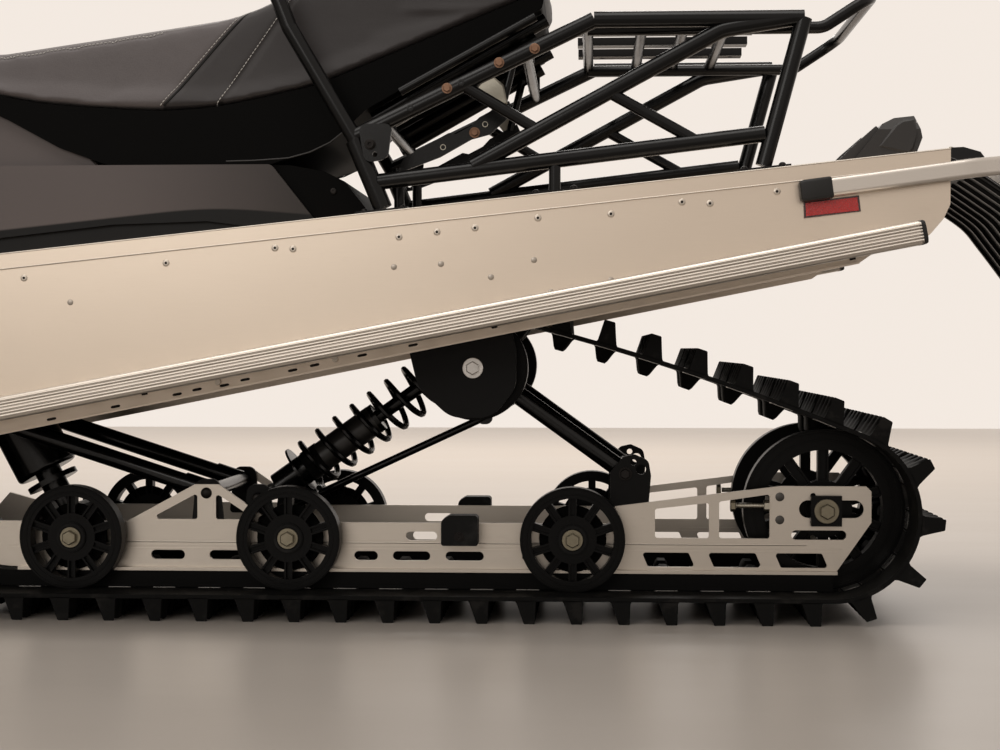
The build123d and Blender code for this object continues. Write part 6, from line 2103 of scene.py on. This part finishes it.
@dataclass
class HoodVents(Group):
    """Rows of vent blades let into the hood's top, and screws along its rear edge."""

    rows: tuple[float, ...] = (0.250, 0.278, 0.306, 0.334, 0.362, 0.390)
    middle_y: float = 0.120
    half: float = 0.052
    shares: tuple[float, ...] = (-1.0, -0.9, -0.3, 0.3, 0.9, 1.0)
    screws: Pairs = ((0.030, 0.060), (0.030, 0.150), (0.560, 0.090), (0.700, 0.060))
    screw: Fastener = Fastener(Head.SOCKET, 0.0062, 0.0026)

    def build(self) -> None:
        """Make the vents and screws."""
        tree = BVHTree.FromObject(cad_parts["hood"], bpy.context.evaluated_depsgraph_get())
        blades, screws = shapes(2)
        rear, sky = self.machine.hood_rear, 1.4
        for side in SIDES:
            for ahead in self.rows:
                stations = []
                for share in self.shares:
                    start = self.at(rear + ahead, side * (self.middle_y + share * self.half), sky)
                    point, normal, _, _ = tree.ray_cast(start, -UP)
                    size = 0.45 if abs(share) == 1.0 else 1.0
                    if point is not None:
                        stations.append((point + normal * 0.0003, 0.0070 * size, 0.0032 * size))
                if len(stations) > 2:
                    blades.bar(stations, ALONG, UP, 0.7)
            for ahead, y in self.screws:
                point, normal, _, _ = tree.ray_cast(self.at(rear + ahead, side * y, sky), -UP)
                if point is not None:
                    screws.fasten(point - normal * 0.0004, normal, self.screw)
        self.add(blades, "hood_vents", "body_black")
        self.add(screws, "hood_screws", "black_steel")


@dataclass
class SkiTrim(Group):
    """Nuts of the ski pivots and spindles, and bolts on the skis."""

    spindle_x: float = 2.230
    ski_y: float = 0.475
    pivot_z: float = 0.084
    pivot_face: float = 0.0322
    deck_z: float = 0.038
    deck_bolts: Pair = (-0.060, 0.060)
    spindle_top: float = 0.4230
    pivot_nut: Fastener = Fastener(Head.HEX, 0.0125, 0.0085)
    deck_bolt: Fastener = Fastener(Head.DOME, 0.0065, washer=1.45)
    spindle_nut: Fastener = Fastener(Head.HEX, 0.0135, 0.0085)

    def build(self) -> None:
        """Make the trim of both skis."""
        for side, body, word in ((1, Body.LEFT_SKI, "left"), (-1, Body.RIGHT_SKI, "right")):
            nuts = Shape()
            for way in SIDES:
                seat = self.at(self.spindle_x, side * self.ski_y + way * self.pivot_face, self.pivot_z)
                nuts.fasten(seat, ACROSS * way, self.pivot_nut)
            for ahead in self.deck_bolts:
                seat = self.at(self.spindle_x + ahead, side * self.ski_y, self.deck_z)
                nuts.fasten(seat, UP, self.deck_bolt)
            top = self.at(self.spindle_x, side * self.ski_y, self.spindle_top)
            nuts.fasten(top, UP, self.spindle_nut)
            self.add(nuts, word + "_ski_nuts", "plated_steel", body)


@dataclass
class Stage:
    """Floor, light and camera."""

    machine: Machine
    floor_colour: Triple = (0.45, 0.40, 0.355)
    # Painted reflection: lighter floor colour towards the wall, standing for its glare at grazing angles
    painted_far_reflection: Triple = (0.90, 0.77, 0.65)
    wall_colour: Triple = (0.90, 0.82, 0.75)
    wall_y: float = -6.4
    reach: float = 30.0
    eye: Triple = (0.3646, 2.901, 0.423)
    yaw: float = 3.11
    pitch: float = 0.86
    lens: float = 62.28
    sky: Triple = (1.0, 0.96, 0.92)
    sky_strength: float = 0.40
    lamp_colour: Triple = (1.0, 0.97, 0.93)
    # Name, place, target, width, height and watts
    boxes: tuple[tuple[str, Triple, Triple, float, float, float], ...] = (
        ("over", (0.0, 1.2, 4.2), (0.0, 0.0, 0.5), 3.6, 2.2, 95.0),
        ("front", (1.6, 5.4, 2.6), (-0.4, 0.0, 0.4), 3.0, 2.0, 70.0),
        ("back", (-0.6, -4.4, 3.0), (0.0, 0.0, 0.5), 3.4, 1.6, 60.0),
    )

    def build(self) -> None:
        """Make the floor, lamps, world and camera."""
        self.floor()
        self.world()
        self.lamps()
        self.camera()

    def floor(self) -> None:
        """Pale smooth floor that ends where the photograph's wall begins."""
        graph = Graph(bpy.data.materials.new("studio_floor"))
        cloud = graph.noise(1.3, 5.0)
        streak = graph.noise(0.8, 6.0, (1.0, 5.0, 1.0))
        shade = tuple(c * 0.8 for c in self.floor_colour)
        near = graph.blend(cloud * 0.6 + streak * 0.3, self.floor_colour, shade)
        # Painted reflection: the floor lightens with distance towards the wall
        depth = 0.0 - graph.part(graph.place(), "Y")
        painted_reflection_share = graph.node("ShaderNodeMapRange", {}, {"Value": depth, "From Min": -0.4, "From Max": 4.4})
        colour = graph.blend(painted_reflection_share, near, self.painted_far_reflection)
        data = bpy.data.meshes.new("floor")
        wide, far = self.reach, self.wall_y
        corners = [(-wide, far, 0), (wide, far, 0), (wide, wide, 0), (-wide, wide, 0)]
        data.from_pydata(corners, [], [(0, 1, 2, 3)])
        rough = 0.24 + streak * 0.14
        data.materials.append(graph.finish(Base_Color=colour, Roughness=rough, Specular_IOR_Level=0.6))
        placed("floor", data)

    def world(self) -> None:
        """Even light, with the pale wall's colour where it is seen or mirrored."""
        graph = Graph(bpy.data.worlds.new("studio"), "ShaderNodeOutputWorld")
        bpy.context.scene.world = graph.owner
        seen = graph.node("ShaderNodeLightPath", {}, {}, "Is Camera Ray")
        for ray in ("Is Glossy Ray", "Is Transmission Ray"):
            also = graph.node("ShaderNodeLightPath", {}, {}, ray)
            seen = graph.node("ShaderNodeMath", {"operation": "MAXIMUM"}, {0: seen, 1: also})
        sky = graph.node("ShaderNodeBackground", {}, {"Color": self.sky, "Strength": self.sky_strength})
        wall = graph.node("ShaderNodeBackground", {}, {"Color": self.wall_colour, "Strength": 1.0})
        graph.put(graph.surface, graph.node("ShaderNodeMixShader", {}, {0: seen, 1: sky, 2: wall}))

    def lamps(self) -> None:
        """Soft boxes above, on the camera's side and behind."""
        for name, place, target, width, height, power in self.boxes:
            light = bpy.data.lights.new(name, "AREA")
            light.shape = "RECTANGLE"
            light.size = width
            light.size_y = height
            light.energy = power
            light.color = self.lamp_colour
            lamp = placed(name, light)
            lamp.location = place
            lamp.rotation_euler = (Vector(target) - Vector(place)).to_track_quat("-Z", "Y").to_euler()

    def camera(self) -> None:
        """Camera at the photograph's place and angle."""
        data = bpy.data.cameras.new("camera")
        data.lens = self.lens
        data.sensor_width = 36.0
        camera = placed("camera", data)
        camera.location = self.machine.at(*self.eye)
        yaw, pitch = math.radians(self.yaw), math.radians(self.pitch)
        level = Vector((math.sin(yaw), -math.cos(yaw), 0.0))
        forward = level * math.cos(pitch) - UP * math.sin(pitch)
        camera.rotation_euler = forward.to_track_quat("-Z", "Y").to_euler()
        bpy.context.scene.camera = camera


NODE_FINISHES = {
    "track_rubber": ("track",),
    "rail_metal": ("left_rail", "right_rail", "front_frame"),
    "slider_plastic": ("sliders",),
    "wheel_plastic": ("idler_wheels", "rear_wheels", "drive_axle"),
    "bracket_black": ("skid_shafts", "carrier_brackets"),
    "arm_paint": ("rear_arm", "front_arm", "ski_arms", "left_spindle", "right_spindle"),
    "spring_paint": ("rear_shock", "front_shock", "ski_shocks"),
    "block_rubber": ("bump_stops",),
    "tunnel_sheet": ("tunnel",),
    "extruded_edge": ("running_boards",),
    "bumper_metal": ("rear_bumper",),
    "flap_rubber": ("snow_flap",),
    "lamp_plastic": ("tail_lamp",),
    "frame_paint": ("left_rack", "right_rack", "rack_deck", "seat_rails", "front_bumper", "handlebar"),
    "seat_vinyl": ("seat_cushion", "backrest"),
    "base_plastic": ("seat_base",),
    "cover_plastic": ("side_cover",),
    "body_black": ("console", "belly_pan"),
    "hood_paint": ("hood",),
    "panel_paint": ("left_side_panel", "right_side_panel"),
    "screen_plastic": ("windshield",),
    "lamp_glass": ("headlamps",),
    "cast_metal": ("engine",),
    "ski_plastic": ("left_ski", "right_ski"),
    "plated_steel": ("tie_rods",),
}


def write_size() -> None:
    """Update the view layer."""
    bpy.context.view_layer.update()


def main() -> None:
    """Build the stage and dress the machine."""
    logging.basicConfig(level=logging.INFO, format="%(name)s %(message)s")
    bpy.context.scene.view_settings.view_transform = "Standard"
    machine = Machine()
    finishes = Finishes(machine)
    Stage(machine).build()
    for name, nodes in NODE_FINISHES.items():
        for node in nodes:
            finishes.dress(node, name)
    for group in (TrackLoop, WheelHardware, SkidTrim, SnowFlap, TunnelTrim, EdgeCaps, RackTrim, Seat,
                  UnderSeat, Backrest, Lamps, Controls, BodyTrim, HoodVents, SkiTrim):
        group(machine, finishes).build()
    write_size()


if __name__ == "__main__":
    main()
